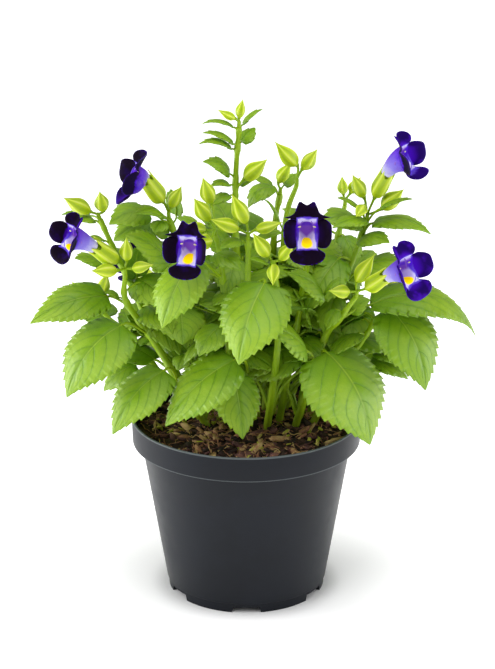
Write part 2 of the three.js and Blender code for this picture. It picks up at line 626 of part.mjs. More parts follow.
// The mouth's corners and the places between them, lobe by lobe.
function mouthArc(lobeIndex, places) {
  const start = 90 * lobeIndex - (lobeIndex % 2 ? 90 - CORNER : CORNER);
  const span = lobeIndex % 2 ? 180 - 2 * CORNER : 2 * CORNER;
  return Array.from({ length: places }, (_, k) => {
    const angle = THREE.MathUtils.degToRad(start + (span * k) / (places - 1));
    return [MOUTH[0] * rounded(Math.cos(angle)), MOUTH[1] * rounded(Math.sin(angle))];
  });
}

// A cosine or sine drawn out so that the oval made with it grows squarer.
function rounded(wave) {
  return Math.sign(wave) * Math.abs(wave) ** MOUTH_ROUNDING;
}

function ovalRing(frame, centre, axis, half, share, sides) {
  const [wide, tall] = half.map((size) => size * share * frame.size);
  const across = new THREE.Vector3().crossVectors(frame.up, axis).normalize();
  const up = new THREE.Vector3().crossVectors(axis, across);
  const start = THREE.MathUtils.degToRad(-CORNER);
  return Array.from({ length: sides }, (_, i) => {
    const angle = start + (2 * Math.PI * i) / sides;
    return centre.clone()
      .addScaledVector(across, wide * Math.cos(angle))
      .addScaledVector(up, tall * Math.sin(angle));
  });
}

function bloomSolid(bud) {
  const frame = bloomFrame(bud.bloom);
  const calyxEnd = vector(bud.point);
  const calyxAxis = calyxEnd.clone().sub(vector(bud.foot)).normalize();
  const start = calyxEnd.addScaledVector(calyxAxis, JOINT_GAP);
  const bend = start.distanceTo(frame.centre) * 0.45;
  const path = new THREE.CubicBezierCurve3(
    start, start.clone().addScaledVector(calyxAxis, bend),
    frame.centre.clone().addScaledVector(frame.out, -bend), frame.centre,
  );
  const skin = new Skin();
  const sheet = MOUTH_THICKNESS / frame.size;
  const grown = 1 + sheet / MOUTH[0];
  const frontMouth = [];
  const backMouth = [];
  LOBES.forEach((lobe, index) => {
    const arc = mouthArc(index, 5).slice(0, 4);
    frontMouth.push(skin.addRow(arc.map((p) => bloomPoint(frame, p, 0))));
    backMouth.push(skin.addRow(arc.map(([x, y]) => bloomPoint(frame, [x * grown, y * grown], -sheet))));
  });
  LOBES.forEach((lobe, index) => {
    const next = (index + 1) % LOBES.length;
    const root = mouthArc(index, lobe.edge.length + 2).slice(1, -1);
    const rowOf = (share, shift) => skin.addRow(lobe.edge.map((tip, k) => {
      const x = THREE.MathUtils.lerp(root[k][0], tip[0], share);
      const y = THREE.MathUtils.lerp(root[k][1], tip[1], share);
      return bloomPoint(frame, [x, y], tip[2] * (1 - (1 - share) ** LOBE_CUP) + shift);
    }));
    const rowsOf = (mouth, shift) => LOBE_ROWS.map((share) => [
      mouth[index][0], ...rowOf(share, shift), mouth[next][0],
    ]);
    const front = [[...frontMouth[index], frontMouth[next][0]], ...rowsOf(frontMouth, 0)];
    const away = -lobe.thickness / frame.size;
    const back = [[...backMouth[index], backMouth[next][0]], ...rowsOf(backMouth, away)];
    for (let k = 0; k < LOBE_ROWS.length; k++) {
      skin.zip(front[k], front[k + 1]);
      skin.zip(back[k + 1], back[k]);
    }
    skin.zip(front.at(-1), back.at(-1));
  });
  const deep = bloomPoint(frame, [0, 0], -THROAT_DEPTH);
  const throat = skin.addRow(ovalRing(frame, deep, frame.out, MOUTH, THROAT_SHARE, 8));
  skin.zip(throat, frontMouth.flat(), true);
  skin.fan([...throat].reverse(), skin.add(bloomPoint(frame, [0, 0], -THROAT_DEPTH - 1)));
  const waist = skin.addRow(ovalRing(frame, path.getPoint(0.5), path.getTangent(0.5), MOUTH, TUBE_SWELL, 10));
  const root = skin.addRow(ovalRing(frame, start, calyxAxis, [TUBE_RADIUS, TUBE_RADIUS], 1, 8));
  skin.zip(backMouth.flat(), waist, true);
  skin.zip(waist, root, true);
  skin.fan(root, skin.add(start));
  return skin.solid();
}

// The pot: one profile turned round the axis, with notches cut in the foot and drain holes in the floor.
function potSolid() {
  const floorTop = FOOT_HEIGHT + FLOOR;
  const skirtFoot = POT_HEIGHT - SKIRT_HEIGHT;
  const profile = [
    [0, FOOT_HEIGHT], [FOOT_RADIUS - FOOT_RING, FOOT_HEIGHT], [FOOT_RADIUS - FOOT_RING, 0], [FOOT_RADIUS, 0],
    [FOOT_RADIUS, FOOT_HEIGHT - 0.2], [FOOT_RADIUS + BODY_STEP, FOOT_HEIGHT + 0.3],
    [SHOULDER_RADIUS, skirtFoot], [SKIRT_RADIUS, skirtFoot],
    [RIM_RADIUS, POT_HEIGHT - LIP], [RIM_RADIUS - LIP, POT_HEIGHT], [RIM_RADIUS - 2 * LIP, POT_HEIGHT - LIP],
    [SKIRT_RADIUS - WALL, skirtFoot + WALL], [SHOULDER_RADIUS - WALL, skirtFoot + WALL],
    [FOOT_RADIUS - 0.6, floorTop], [0, floorTop],
  ];
  const turned = new THREE.LatheGeometry(profile.map(([r, z]) => new THREE.Vector2(r, z)), POT_SIDES);
  let pot = solidOf(turned.rotateX(Math.PI / 2));
  const notch = new THREE.Shape([
    new THREE.Vector2(-NOTCH_FOOT / 2, -1), new THREE.Vector2(NOTCH_FOOT / 2, -1),
    new THREE.Vector2(NOTCH_TOP / 2, NOTCH_HEIGHT), new THREE.Vector2(-NOTCH_TOP / 2, NOTCH_HEIGHT),
  ]);
  const inside = FOOT_RADIUS - FOOT_RING - 4;
  for (let k = 0; k < NOTCHES; k++) {
    const turn = (2 * Math.PI * k) / NOTCHES;
    const cut = new THREE.ExtrudeGeometry(notch, { depth: 12, bevelEnabled: false });
    cut.rotateX(Math.PI / 2).translate(0, -inside, 0).rotateZ(turn);
    const drain = new THREE.CylinderGeometry(DRAIN_RADIUS, DRAIN_RADIUS, 4 * FLOOR, DRAIN_SIDES);
    drain.rotateX(Math.PI / 2).translate(0, -DRAIN_CIRCLE, FOOT_HEIGHT + FLOOR / 2).rotateZ(turn);
    pot = pot.subtract(solidOf(cut)).subtract(solidOf(drain));
  }
  return pot;
}

// The height of the potting mix: a low crown with lumps of bark raised by crossed waves.
function soilHeight(x, y) {
  const edge = (x * x + y * y) / (RIM_RADIUS * RIM_RADIUS);
  const waves = Math.sin(0.42 * x + 1.7 * Math.sin(0.19 * y)) * Math.cos(0.37 * y + 1.3 * Math.sin(0.23 * x));
  const lumps = 1.1 * waves;
  const grit = 0.6 * Math.sin(0.83 * x + 0.61 * y) * Math.cos(0.71 * y - 0.52 * x);
  return SOIL_TOP + SOIL_CROWN * (1 - edge) + lumps + grit;
}

function soilSolid(stems) {
  const floorTop = FOOT_HEIGHT + FLOOR;
  const shoulder = POT_HEIGHT - SKIRT_HEIGHT + WALL;
  const ring = (radius, height, sides = POT_SIDES) => Array.from({ length: sides }, (_, i) => {
    const angle = (2 * Math.PI * (i + 0.5)) / sides; // in line with the pot's facets
    const x = radius * Math.cos(angle);
    const y = radius * Math.sin(angle);
    return new THREE.Vector3(x, y, height ?? soilHeight(x, y));
  });
  const edge = SKIRT_RADIUS - WALL - SOIL_GAP;
  const rings = [
    ring(FOOT_RADIUS - 0.8 - SOIL_GAP, floorTop + SOIL_GAP),
    ring(SHOULDER_RADIUS - WALL - SOIL_GAP - 0.1, shoulder + SOIL_GAP),
    ring(edge, shoulder + SOIL_GAP), ring(edge),
    ...SOIL_RINGS.map(([share, sides]) => ring(edge * share, undefined, sides)),
  ];
  return stems.reduce((soil, stem) => soil.subtract(stem.solid(HOLE_GAP)), loft(rings));
}

const MATERIALS = {
  pot: new THREE.MeshStandardMaterial({ color: 0x33363a, roughness: 0.5, metalness: 0 }),
  soil: new THREE.MeshStandardMaterial({ color: 0x4a3524, roughness: 0.95, metalness: 0 }),
  leaf: new THREE.MeshStandardMaterial({ color: 0x6fa632, roughness: 0.5, metalness: 0 }),
  bud: new THREE.MeshStandardMaterial({ color: 0xb4cf3c, roughness: 0.5, metalness: 0 }),
  petal: new THREE.MeshStandardMaterial({ color: 0x2a0a78, roughness: 0.6, metalness: 0 }),
};

// What has been set so far, so that the next leaf can be bent clear of it.
const placed = [];

function boxesMeet(a, b) {
  return [0, 1, 2].every((k) => a.min[k] <= b.max[k] && b.min[k] <= a.max[k]);
}

function place(owner, kind, solid) {
  placed.push({ owner, kind, solid, box: solid.boundingBox() });
}

// Whether a trial solid stays clear of all that is set. A leaf may touch its own stem, and petioles of
// one stem may meet.
function isClear(trial, owner, kind) {
  const box = trial.boundingBox();
  return placed.every((other) => {
    const mayTouch = other.kind === "stem" || other.kind === "petiole" || kind === "petiole";
    if (other.owner === owner && mayTouch) return true;
    return !boxesMeet(box, other.box) || trial.intersect(other.solid).isEmpty();
  });
}

function petioleSolid(leaf, radius) {
  return limb(leaf.root, leaf.frame.base, radius, radius, 4);
}

// Tries a leaf's moves in turn, and sets and returns the first that is clear, or null.
function settle(moves, makeMoved) {
  for (const move of moves) {
    const leaf = makeMoved(move);
    const petiole = petioleSolid(leaf, PETIOLE_HALF + CLEARANCE);
    if (!isClear(petiole, leaf.stem, "petiole")) continue;
    if (!isClear(leafSolid(leaf, BLADE_THICKNESS + 2 * CLEARANCE, false), leaf.stem, "blade")) continue;
    place(leaf.stem, "petiole", petioleSolid(leaf, PETIOLE_HALF));
    place(leaf.stem, "blade", leafSolid(leaf, BLADE_THICKNESS, false));
    return leaf;
  }
  return null;
}

// The leaves placed one by one, each slid along the sight line until it is clear.
function placedLeaves(stems) {
  return LEAVES.map(([stem, height, base, tip, width, arch, roll]) => settle(SLIDES, (slide) => {
    const shift = SIGHT_LINE.clone().multiplyScalar(slide);
    const [from, to] = [base, tip].map((p) => vector(p).add(shift));
    return makeLeaf(stem, stems[stem].at(height), from, to, width, arch, roll);
  }));
}

// The leaf pairs that a rule sets, longest at the foot of each stem.
function pairedLeaves(stems) {
  const random = randomSource(SEED);
  const leaves = [];
  for (const [stem, pair] of Object.entries(PAIRS))
    pair.heights.forEach((height, level) => {
      for (const side of [0, 1]) {
        const heading = pair.turn + 90 * level + 180 * side + 24 * (random() - 0.5);
        const rise = 8 + 14 * random();
        const share = (level + random()) / (pair.heights.length + 1);
        const droop = DROOP_LEAST + DROOP_SPREAD * random() - DROOP_TOP * share;
        const roll = 30 * (random() - 0.5);
        if (pair.front && Math.sin(THREE.MathUtils.degToRad(heading)) < FRONT_LIMIT) continue;
        const size = THREE.MathUtils.lerp(PAIR_LONGEST, PAIR_SHORTEST, share);
        const root = stems[stem].at(height + side * PAIR_STEP);
        leaves.push(settle(TURNS, ([turn, tilt]) => {
          const base = root.clone().add(heading3(heading + turn, rise + tilt, size * PETIOLE_SHARE));
          const tip = base.clone().add(heading3(heading + turn, tilt - droop, size));
          return makeLeaf(stem, root, base, tip, size * PAIR_WIDTH_SHARE, size * PAIR_ARCH_SHARE, roll);
        }));
      }
    });
  return leaves;
}

// A step of some length at a compass heading and a slope, both in degrees.
function heading3(heading, slope, length) {
  const yaw = THREE.MathUtils.degToRad(heading);
  const pitch = THREE.MathUtils.degToRad(slope);
  const level = length * Math.cos(pitch);
  return new THREE.Vector3(level * Math.cos(yaw), level * Math.sin(yaw), length * Math.sin(pitch));
}

const plant = new THREE.Group();
const stems = Object.fromEntries(Object.entries(STEMS).map(([name, points]) => [name, new Stem(points)]));
const stemParts = {};

plant.add(meshOf(potSolid(), "pot", MATERIALS.pot));
const soil = soilSolid(Object.values(stems));
plant.add(meshOf(soil, "potting_mix", MATERIALS.soil));
place("pot", "pot", solidOf(new THREE.CylinderGeometry(RIM_RADIUS, SHOULDER_RADIUS, SKIRT_HEIGHT, POT_SIDES)
  .rotateX(Math.PI / 2).translate(0, 0, POT_HEIGHT - SKIRT_HEIGHT / 2)));

for (const [name, stem] of Object.entries(stems)) {
  stemParts[name] = [stem.solid(0)];
  place(name, "stem", stemParts[name][0]);
}
for (const bud of STEM_BUDS) {
  const solid = budSolid(stems[bud.stem].at(bud.height), bud);
  stemParts[bud.stem].push(solid);
  place(bud.stem, "bud", solid);
}
for (const [name, spray] of Object.entries(SPRAYS)) {
  const solid = spraySolid(spray, stems[name]);
  plant.add(meshOf(solid, `bud_spray_${name}`, MATERIALS.bud));
  place(`spray ${name}`, "spray", solid);
  for (const bud of spray.buds.filter((b) => b.bloom)) {
    const bloom = bloomSolid(bud);
    plant.add(meshOf(bloom, `bloom_${name}`, MATERIALS.petal));
    place(`bloom ${name}`, "bloom", bloom);
  }
}
for (const leaf of [...placedLeaves(stems), ...pairedLeaves(stems)])
  if (leaf) stemParts[leaf.stem].push(leafSolid(leaf, BLADE_THICKNESS, true));
for (const [name, parts] of Object.entries(stemParts))
  plant.add(meshOf(fuse(parts), `leafy_stem_${name}`, MATERIALS.leaf));

// The origin goes under the middle of the whole plant, on the surface that the pot stands on.
const middle = new THREE.Box3().setFromObject(plant).getCenter(new THREE.Vector3());
plant.position.set(-middle.x, -middle.y, 0);

export default plant;
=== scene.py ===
"""The looks of a potted wishbone flower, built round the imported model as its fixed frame.

The tables and formulas below are in millimetres from the pot's axis, as in the part's source, and a
mesh is put into metres and moved to the frame's origin when it is made.
"""

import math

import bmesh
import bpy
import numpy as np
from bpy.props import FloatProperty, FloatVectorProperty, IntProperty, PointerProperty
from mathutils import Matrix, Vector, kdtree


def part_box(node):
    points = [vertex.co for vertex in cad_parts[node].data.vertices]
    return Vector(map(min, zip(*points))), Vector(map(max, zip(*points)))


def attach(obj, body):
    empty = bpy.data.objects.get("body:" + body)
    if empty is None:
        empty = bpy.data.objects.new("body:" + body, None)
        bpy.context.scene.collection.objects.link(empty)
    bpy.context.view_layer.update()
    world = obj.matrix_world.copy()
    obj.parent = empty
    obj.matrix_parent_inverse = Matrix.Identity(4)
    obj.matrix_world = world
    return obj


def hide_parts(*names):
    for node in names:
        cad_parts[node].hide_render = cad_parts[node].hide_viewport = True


bl_info = {
    "name": "Potted wishbone flower",
    "version": (1, 0, 0),
    "blender": (4, 5, 0),
    "location": "View3D > Sidebar > Wishbone flower",
    "description": "Builds the pot, the potting mix, the leafy stems, the buds and the blooms",
    "category": "Object",
}

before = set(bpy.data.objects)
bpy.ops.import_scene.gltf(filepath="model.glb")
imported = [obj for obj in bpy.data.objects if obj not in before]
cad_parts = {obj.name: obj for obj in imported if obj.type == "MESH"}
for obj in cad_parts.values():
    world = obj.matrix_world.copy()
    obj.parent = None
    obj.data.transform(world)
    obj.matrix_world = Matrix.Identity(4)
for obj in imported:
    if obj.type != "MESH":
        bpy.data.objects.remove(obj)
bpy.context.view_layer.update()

MM = 0.001
BODY = "root"

LOW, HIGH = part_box("pot")
POT_AXIS = np.array([(LOW.x + HIGH.x) / 2, (LOW.y + HIGH.y) / 2, 0.0])  # metres, in the frame

# The pot, as in the part's source.
POT_HEIGHT = 103
RIM_RADIUS = 65
LIP_WIDTH = 1.6
LIP_DROP = 1.2
SKIRT_HEIGHT = 14.5
SKIRT_RADIUS = 64.5
SHOULDER_RADIUS = 59.6
FOOT_RADIUS = 44.6
FOOT_HEIGHT = 5.4
FOOT_RING = 3.2
BODY_STEP = 1
WALL = 1.5
FLOOR = 2
NOTCHES = 6
NOTCH_TOP = 14.4
NOTCH_FOOT = 17.2
NOTCH_HEIGHT = 3.4
NOTCH_MARGIN = 4  # how far inside the foot ring a notch's cutter starts
NOTCH_LENGTH = 12
DRAIN_RADIUS = 3.2
DRAIN_CIRCLE = 33
SOIL_TOP = 94
SOIL_CROWN = 2.2
SOIL_GAP = 0.3  # how far the mix stays above the pot's floor and shoulder
SOIL_SIDES = 200
SOIL_RINGS = 66
SHARP_EDGE = math.radians(38)  # edges of the pot that are sharper than this stay sharp

# Stems, from the root end to the top: x, y, z.
STEMS = {
    "a": [[7, 15, 82], [2, 9, 140], [-5, 6, 195], [-6, 7, 235], [-4, 8, 269]],
    "b": [[10, 23, 82], [14, 30, 160], [16, 30, 205], [19, 30, 224]],
    "c": [[14, 16, 82], [19, 18, 160], [22, 18, 212], [28, 18, 233]],
    "d": [[4, 5, 82], [1, -18, 160], [1, -26, 199], [1, -28, 216]],
    "e": [[10, -2, 82], [17, -24, 150], [17, -36, 188], [14, -42, 205]],
    "f": [[26, 11, 82], [44, 4, 149], [56, 5, 184], [67, 10, 215]],
    "g": [[24, 1, 82], [42, -14, 150], [52, -24, 170], [60, -30, 184]],
    "h": [[19, 25, 82], [42, 33, 155], [52, 40, 195], [56, 44, 213]],
    "i": [[-6, 13, 82], [-26, 7, 160], [-39, 8, 204], [-43, 10, 216]],
    "j": [[-5, 5, 82], [-10, -8, 150], [-14, -17, 200], [-17, -21, 217]],
    "k": [[-19, 9, 82], [-56, 2, 162], [-70, 3, 192], [-81, 5, 217]],
    "l": [[-15, 2, 82], [-52, -12, 152], [-66, -21, 178], [-66, -26, 196]],
    "m": [[32, 7, 82], [52, -2, 128], [66, -6, 152], [72, -9, 163]],
    "n": [[-9, 22, 82], [-34, 48, 128], [-50, 64, 152]],
    "p": [[2, 31, 82], [-4, 56, 130], [-8, 74, 154]],
    "q": [[12, 33, 82], [24, 58, 128], [38, 72, 151]],
    "r": [[27, 20, 82], [62, 38, 130], [86, 50, 152]],
    "s": [[-20, 17, 82], [-60, 34, 128], [-86, 46, 151]],
    "u": [[16, 5, 82], [27, -4, 150], [33, -14, 196], [32, -20, 212]],
}

# Sprays on the stems' tops: the hub, then each bud's foot, point and radius.
SPRAYS = {
    "a": ([-4, 8, 272], [([-4, 8, 274], [-2, 8, 285], 2.6), ([-6, 7, 274], [-16, 2, 280], 2.2)]),
    "b": ([19, 30, 227], [([18, 29, 231], [25, 30, 243], 3.6)]),
    "c": ([28, 18, 236], [([28, 16, 245], [15, 8, 260], 4.4), ([31, 18, 242], [40, 16, 254], 3.8)]),
    "d": ([1, -28, 219], [([0, -30, 226], [-8, -34, 243], 4.4), ([-4, -32, 223], [-20, -38, 230], 3.8),
                          ([5, -30, 222], [20, -34, 227], 3.2)]),
    "e": ([14, -42, 208], [([12, -42, 211], [3, -46, 225], 4), ([15, -47, 208], [14, -57, 199], 3.4),
                           ([18, -42, 209], [26, -45, 220], 3.4)]),
    "f": ([67, 10, 218], [([65, 8, 229], [58, 3, 243], 3.8), ([71, 5, 230], [77, -3, 246], 4.6),
                          ([75, 6, 223], [87, 1, 235], 4.6), ([65, 1, 226], [60, -8, 222], 3.2)]),
    "g": ([60, -30, 187], [([60, -32, 193], [69, -36, 210], 4.2), ([56, -34, 188], [44, -42, 191], 3.6),
                           ([65, -34, 190], [76, -43, 200], 4.6)]),
    "h": ([56, 45, 216], [([55, 43, 220], [54, 42, 231], 3), ([59, 45, 220], [65, 47, 229], 3.4)]),
    "i": ([-43, 10, 219], [([-46, 6, 227], [-56, -2, 242], 5), ([-42, 8, 223], [-36, 6, 236], 3.8)]),
    "j": ([-17, -22, 220], [([-19, -14, 232], [-24, -15, 247], 4.2), ([-20, -22, 225], [-29, -28, 239], 4.2),
                            ([-22, -27, 221], [-34, -33, 226], 3.4),
                            ([-20, -33, 217], [-27, -45, 219], 4.2)]),
    "k": ([-82, 5, 220], [([-86, 3, 222], [-101, -5, 232], 4.2), ([-79, 4, 222], [-81, 2, 234], 4)]),
    "l": ([-66, -27, 199], [([-70, -27, 203], [-82, -33, 213], 5), ([-65, -28, 204], [-65, -31, 218], 3.6),
                            ([-70, -33, 200], [-84, -39, 201], 3.8),
                            ([-62, -30, 200], [-50, -34, 203], 3.2)]),
    "u": ([32, -20, 215], [([32, -27, 219], [32, -42, 226], 4.4)]),
    "n": ([-50, 64, 155], [([-54, 68, 158], [-61, 77, 162], 4.6), ([-47, 67, 160], [-45, 75, 171], 3.8)]),
    "p": ([-8, 74, 157], [([-11, 77, 160], [-17, 87, 167], 3.8), ([-6, 77, 161], [-1, 85, 171], 4)]),
    "q": ([38, 72, 154], [([41, 76, 155], [46, 88, 159], 4.6), ([34, 74, 158], [29, 80, 169], 3.8)]),
    "r": ([86, 50, 155], [([90, 51, 158], [100, 54, 166], 4), ([85, 53, 159], [84, 60, 171], 3.6)]),
    "s": ([-86, 46, 154], [([-90, 46, 157], [-101, 46, 166], 4), ([-84, 49, 158], [-80, 55, 169], 3.6)]),
}
# One large bud in a leaf's axil: the stem, the height on it, foot, point and radius.
STEM_BUDS = [("a", 233, [-1, 3, 241], [12, -2, 253], 4.6)]

# Blooms: the spray, the bud in it that is the bloom's calyx, mouth, face, lean in degrees and size.
BLOOMS = {
    "f": (1, [86, -15, 257.4], [0.86, -0.48, 0.2], 12, 0.88),
    "g": (2, [85.6, -58, 208], [0.66, -0.73, 0.15], 16, 0.95),
    "i": (0, [-60.2, -12, 245.2], [-0.92, -0.14, 0.26], -8, 0.95),
    "j": (3, [-31, -62, 221], [-0.22, -0.95, 0.2], 0, 0.93),
    "l": (0, [-93.6, -47, 222.6], [-0.76, -0.62, 0.14], -18, 0.84),
    "u": (0, [32, -64, 231], [0.02, -0.97, 0.22], 0, 1),
    "n": (0, [-66, 93, 162], [-0.4, 0.88, 0.15], 0, 0.92),
    "q": (0, [51, 104, 160], [0.25, 0.93, 0.1], 0, 0.9),
}

# Leaves placed one by one: stem, height of the petiole's root, the blade's base and tip, its width, how
# far its midrib arches, and its roll about the midrib in degrees.
LEAVES = [
    ("d", 185, [10, -50, 199], [-4, -72, 160], 40, 5, 0),
    ("g", 140, [44, -28, 151], [68, -48, 104], 62, 8, -2),
    ("d", 130, [-6, -45, 153], [-44, -58, 119], 36, 6, -18),
    ("l", 156, [-68, -28, 167], [-98, -48, 132], 41, 8, -11),
    ("l", 125, [-45, -35, 143], [-73, -55, 113], 31, 6, -10),
    ("j", 190, [-29, -40, 207], [-45, -62, 177], 30, 4, 0),
    ("l", 176, [-76, -18, 180], [-118, -35, 170], 28, 6, -36),
    ("m", 160, [79, -12, 171], [99, -30, 129], 36, 9, 12),
    ("g", 168, [68, -18, 175], [128, -5, 152], 28, 11, 4),
    ("d", 120, [-7, -35, 140], [-2, -50, 108], 25, 3, 0),
    ("f", 206, [70, 8, 214], [102, 0, 210], 20, 6, 4),
    ("i", 185, [-42, -8, 196], [-66, -20, 216], 25, 4, -34),
    ("g", 140, [33, -20, 149], [11, -35, 169], 24, 3, -34),
    ("j", 165, [-36, -20, 174], [-35, -28, 155], 26, 3, 0),
    ("j", 160, [-14, -24, 165], [-26, -35, 151], 20, 3, -10),
    ("i", 200, [-53, 20, 210], [-74, 10, 203], 25, 3, -14),
    ("i", 210, [-55, 14, 219], [-76, 2, 215], 20, 4, -24),
    ("f", 206, [62, 14, 214], [42, 2, 216], 22, 4, -20),
    ("b", 221, [15, 28, 229], [1, 20, 219], 22, 4, -14),
    ("f", 160, [59, 0, 170], [59, -8, 148], 26, 3, 0),
    ("u", 150, [35, -5, 158], [26, -10, 181], 24, 2, -14),
    ("u", 178, [42, -25, 184], [22, -38, 200], 20, 3, -32),
    ("f", 180, [64, 0, 190], [86, -10, 197], 22, 3, 20),
    ("k", 175, [-61, -4, 186], [-57, -8, 208], 20, 3, 0),
    ("k", 120, [-62, -5, 135], [-80, -10, 121], 22, 3, -10),
    ("m", 140, [58, 5, 147], [87, 0, 139], 18, 4, 15),
    ("m", 130, [70, 0, 136], [91, -5, 126], 14, 3, 15),
    ("k", 150, [-51, -5, 156], [-66, -22, 170], 14, 2, 120),
    ("j", 200, [-17, -26, 207], [-3, -40, 202], 15, 3, 14),
    ("f", 198, [63, 4, 206], [79, -6, 207], 17, 3, 14),
    ("f", 208, [66, 4, 217], [47, -14, 218], 12, 3, -16),
    ("c", 205, [18, 10, 214], [10, 6, 228], 14, 2, -14),
    ("i", 212, [-39, 16, 216], [-42, 14, 232], 17, 2, 0),
    ("i", 214, [-46, 8, 218], [-61, -8, 224], 13, 4, -20),
    ("a", 258, [-3, 10, 260], [5, 14, 267], 12, 1, 10),
    ("a", 240, [-9, 6, 243], [-24, 2, 251], 12, 4, -28),
    ("j", 172, [-12, -14, 176], [-26, -20, 176], 17, 2, -24),
    ("k", 192, [-79, -8, 196], [-94, -18, 202], 14, 2, -20),
    ("k", 172, [-60, -2, 178], [-67, -10, 187], 14, 2, -20),
    ("u", 176, [43, -22, 183], [52, -26, 193], 13, 2, 10),
    ("l", 135, [-34, -12, 144], [-38, -20, 137], 12, 1, 0),
    ("f", 212, [64, 8, 221], [50, 0, 231], 9, 2, -14),
    ("i", 212, [-46, 2, 217], [-51, -4, 212], 11, 1, -10),
    ("j", 214, [-25, -14, 217], [-38, -14, 224], 11, 2, -20),
    ("g", 172, [49, -26, 175], [44, -32, 166], 10, 1, 0),
    ("l", 184, [-58, -16, 187], [-53, -22, 177], 10, 1, 0),
    ("d", 212, [5, -29, 217], [20, -35, 222], 10, 2, 14),
    ("d", 212, [-3, -29, 216], [-14, -38, 214], 10, 2, -14),
    ("b", 219, [21, 29, 230], [29, 31, 236], 11, 1, 10),
    ("b", 222, [15, 31, 229], [3, 29, 234], 9, 2, -14),
    ("k", 212, [-84, 4, 217], [-94, -2, 218], 9, 2, -14),
    ("l", 178, [-70, -14, 178], [-78, -16, 181], 8, 2, -10),
    ("e", 200, [12, -46, 208], [2, -53, 213], 8, 2, -14),
    ("a", 230, [-9, 5, 231], [-19, 0, 226], 8, 3, -20),
    ("a", 236, [-9, 5, 237], [-20, 0, 237], 7, 3, -16),
    ("a", 236, [-3, 5, 237], [5, 4, 241], 7, 1, 10),
    ("a", 256, [-8, 7, 257], [-26, 2, 261], 7, 4, -14),
    ("a", 258, [-7, 9, 259], [-24, 6, 266], 7, 3, -14),
    ("a", 267, [-2, 8, 271], [9, 10, 279], 5, 2, 10),
    ("a", 267, [-7, 8, 269], [-24, 4, 272], 5, 3, -10),
    ("k", 216, [-87, 5, 220], [-103, 0, 222], 6, 2, -10),
    ("f", 213, [74, 8, 222], [91, 2, 229], 6, 2, 10),
    ("k", 202, [-79, 2, 206], [-87, -4, 208], 7, 2, -10),
]

# Leaves whose blades are drawn a little apart from the part's: their width, arch and roll.
RESHAPED = {
    ("g", 168): (32, 17, 16),
    ("l", 176): (24, 8, -33),
    ("c", 205): (10, 2, -14),
    ("b", 221): (14, 5, -14),
}

# Leaf pairs that a rule sets: the heights on each stem, the first pair's heading, and whether only the
# leaves that point to the back are kept.
PAIRS = {
    "a": ([120, 150, 178, 205], 10, True),
    "b": ([115, 145, 175, 200], 60, True),
    "c": ([130, 160, 188], 100, True),
    "d": ([150, 175], 20, True),
    "e": ([125, 160], 160, True),
    "f": ([125, 150, 178], 80, True),
    "g": ([120, 155], 30, True),
    "h": ([120, 145, 170, 196], 50, True),
    "i": ([125, 150, 175, 198], 110, True),
    "j": ([130, 180], 140, True),
    "k": ([130, 155, 185], 100, True),
    "l": ([130, 165], 90, True),
    "m": ([118, 150], 90, True),
    "n": ([110, 122, 134, 145], 30, False),
    "p": ([110, 121, 133, 146], 0, False),
    "q": ([110, 122, 134, 145], 50, False),
    "r": ([122, 132, 142], 35, False),
    "s": ([122, 132, 141], 125, False),
    "u": ([130, 160, 190], 40, True),
}
# Lengths in mm, angles in degrees, and shares of the leaf's length.
PAIR_HEADING_SPREAD = 24
PAIR_RISES = (8, 22)
PAIR_ROLL_SPREAD = 30
PAIR_LONGEST = 50
PAIR_SHORTEST = 24
PAIR_STEP = 0.7
PAIR_WIDTH_SHARE = 0.68
PAIR_ARCH_SHARE = 0.11
PETIOLE_SHARE = 0.3
FRONT_LIMIT = 0.1
DROOP_LEAST = 4
DROOP_SPREAD = 20
DROOP_TOP = 30
SEED = 7

# The moves that the part's source tries in turn until a leaf is clear.
FRONT_TILT = math.radians(20)
SIGHT_LINE = np.array([0, math.cos(FRONT_TILT), -math.sin(FRONT_TILT)])
SLIDES = [0, -3, 3, -6, 6, -9, 9, -12, 12, -16, 16, -20, 20]
TURNS = [
    [0, 0], [14, 0], [-14, 0], [0, 14], [0, -12], [28, 8], [-28, 8], [42, 0], [-42, 0],
    [30, -14], [-30, -14], [0, 28], [20, 24], [-20, 24], [56, 10], [-56, 10],
]
CAD_BLADE_THICKNESS = 0.9
MATCH_REACH = 0.05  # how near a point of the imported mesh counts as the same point
MATCHES_NEEDED = 3

Y_AXIS = np.array([0, 1.0, 0])
Z_AXIS = np.array([0, 0, 1.0])


def unit(a):
    """Vectors at length one."""
    return a / np.maximum(np.linalg.norm(a, axis=-1, keepdims=True), 1e-12)


def lerp(a, b, share):
    """The value at a share of the way from a to b."""
    return a + (b - a) * share


def smooth(x):
    """An S-shaped step: 0 below 0, 1 above 1, and 3x^2 - 2x^3 between."""
    x = np.clip(x, 0, 1)
    return x * x * (3 - 2 * x)


def turned(v, axis, degrees):
    """A vector turned about an axis: v cos + (axis x v) sin + axis (axis . v)(1 - cos)."""
    angle = math.radians(degrees)
    return (v * math.cos(angle) + np.cross(axis, v) * math.sin(angle)
            + axis * np.dot(axis, v) * (1 - math.cos(angle)))


def smooth_curve(points, shares):
    """Points on a smooth curve through some points, whose ends are carried straight on.

    Between two points it is the cubic with half the step across each point as the slope there.
    """
    points = np.asarray(points, float)
    padded = np.vstack([2 * points[0] - points[1], points, 2 * points[-1] - points[-2]])
    place = np.clip(np.asarray(shares, float), 0, 1) * (len(points) - 1)
    step = np.minimum(place.astype(int), len(points) - 2)
    w = (place - step)[:, None]
    p0, p1, p2, p3 = (padded[step + k] for k in range(4))
    slope1 = (p2 - p0) / 2
    slope2 = (p3 - p1) / 2
    return (p1 + slope1 * w + (3 * (p2 - p1) - 2 * slope1 - slope2) * w**2
            + (2 * (p1 - p2) + slope1 + slope2) * w**3)


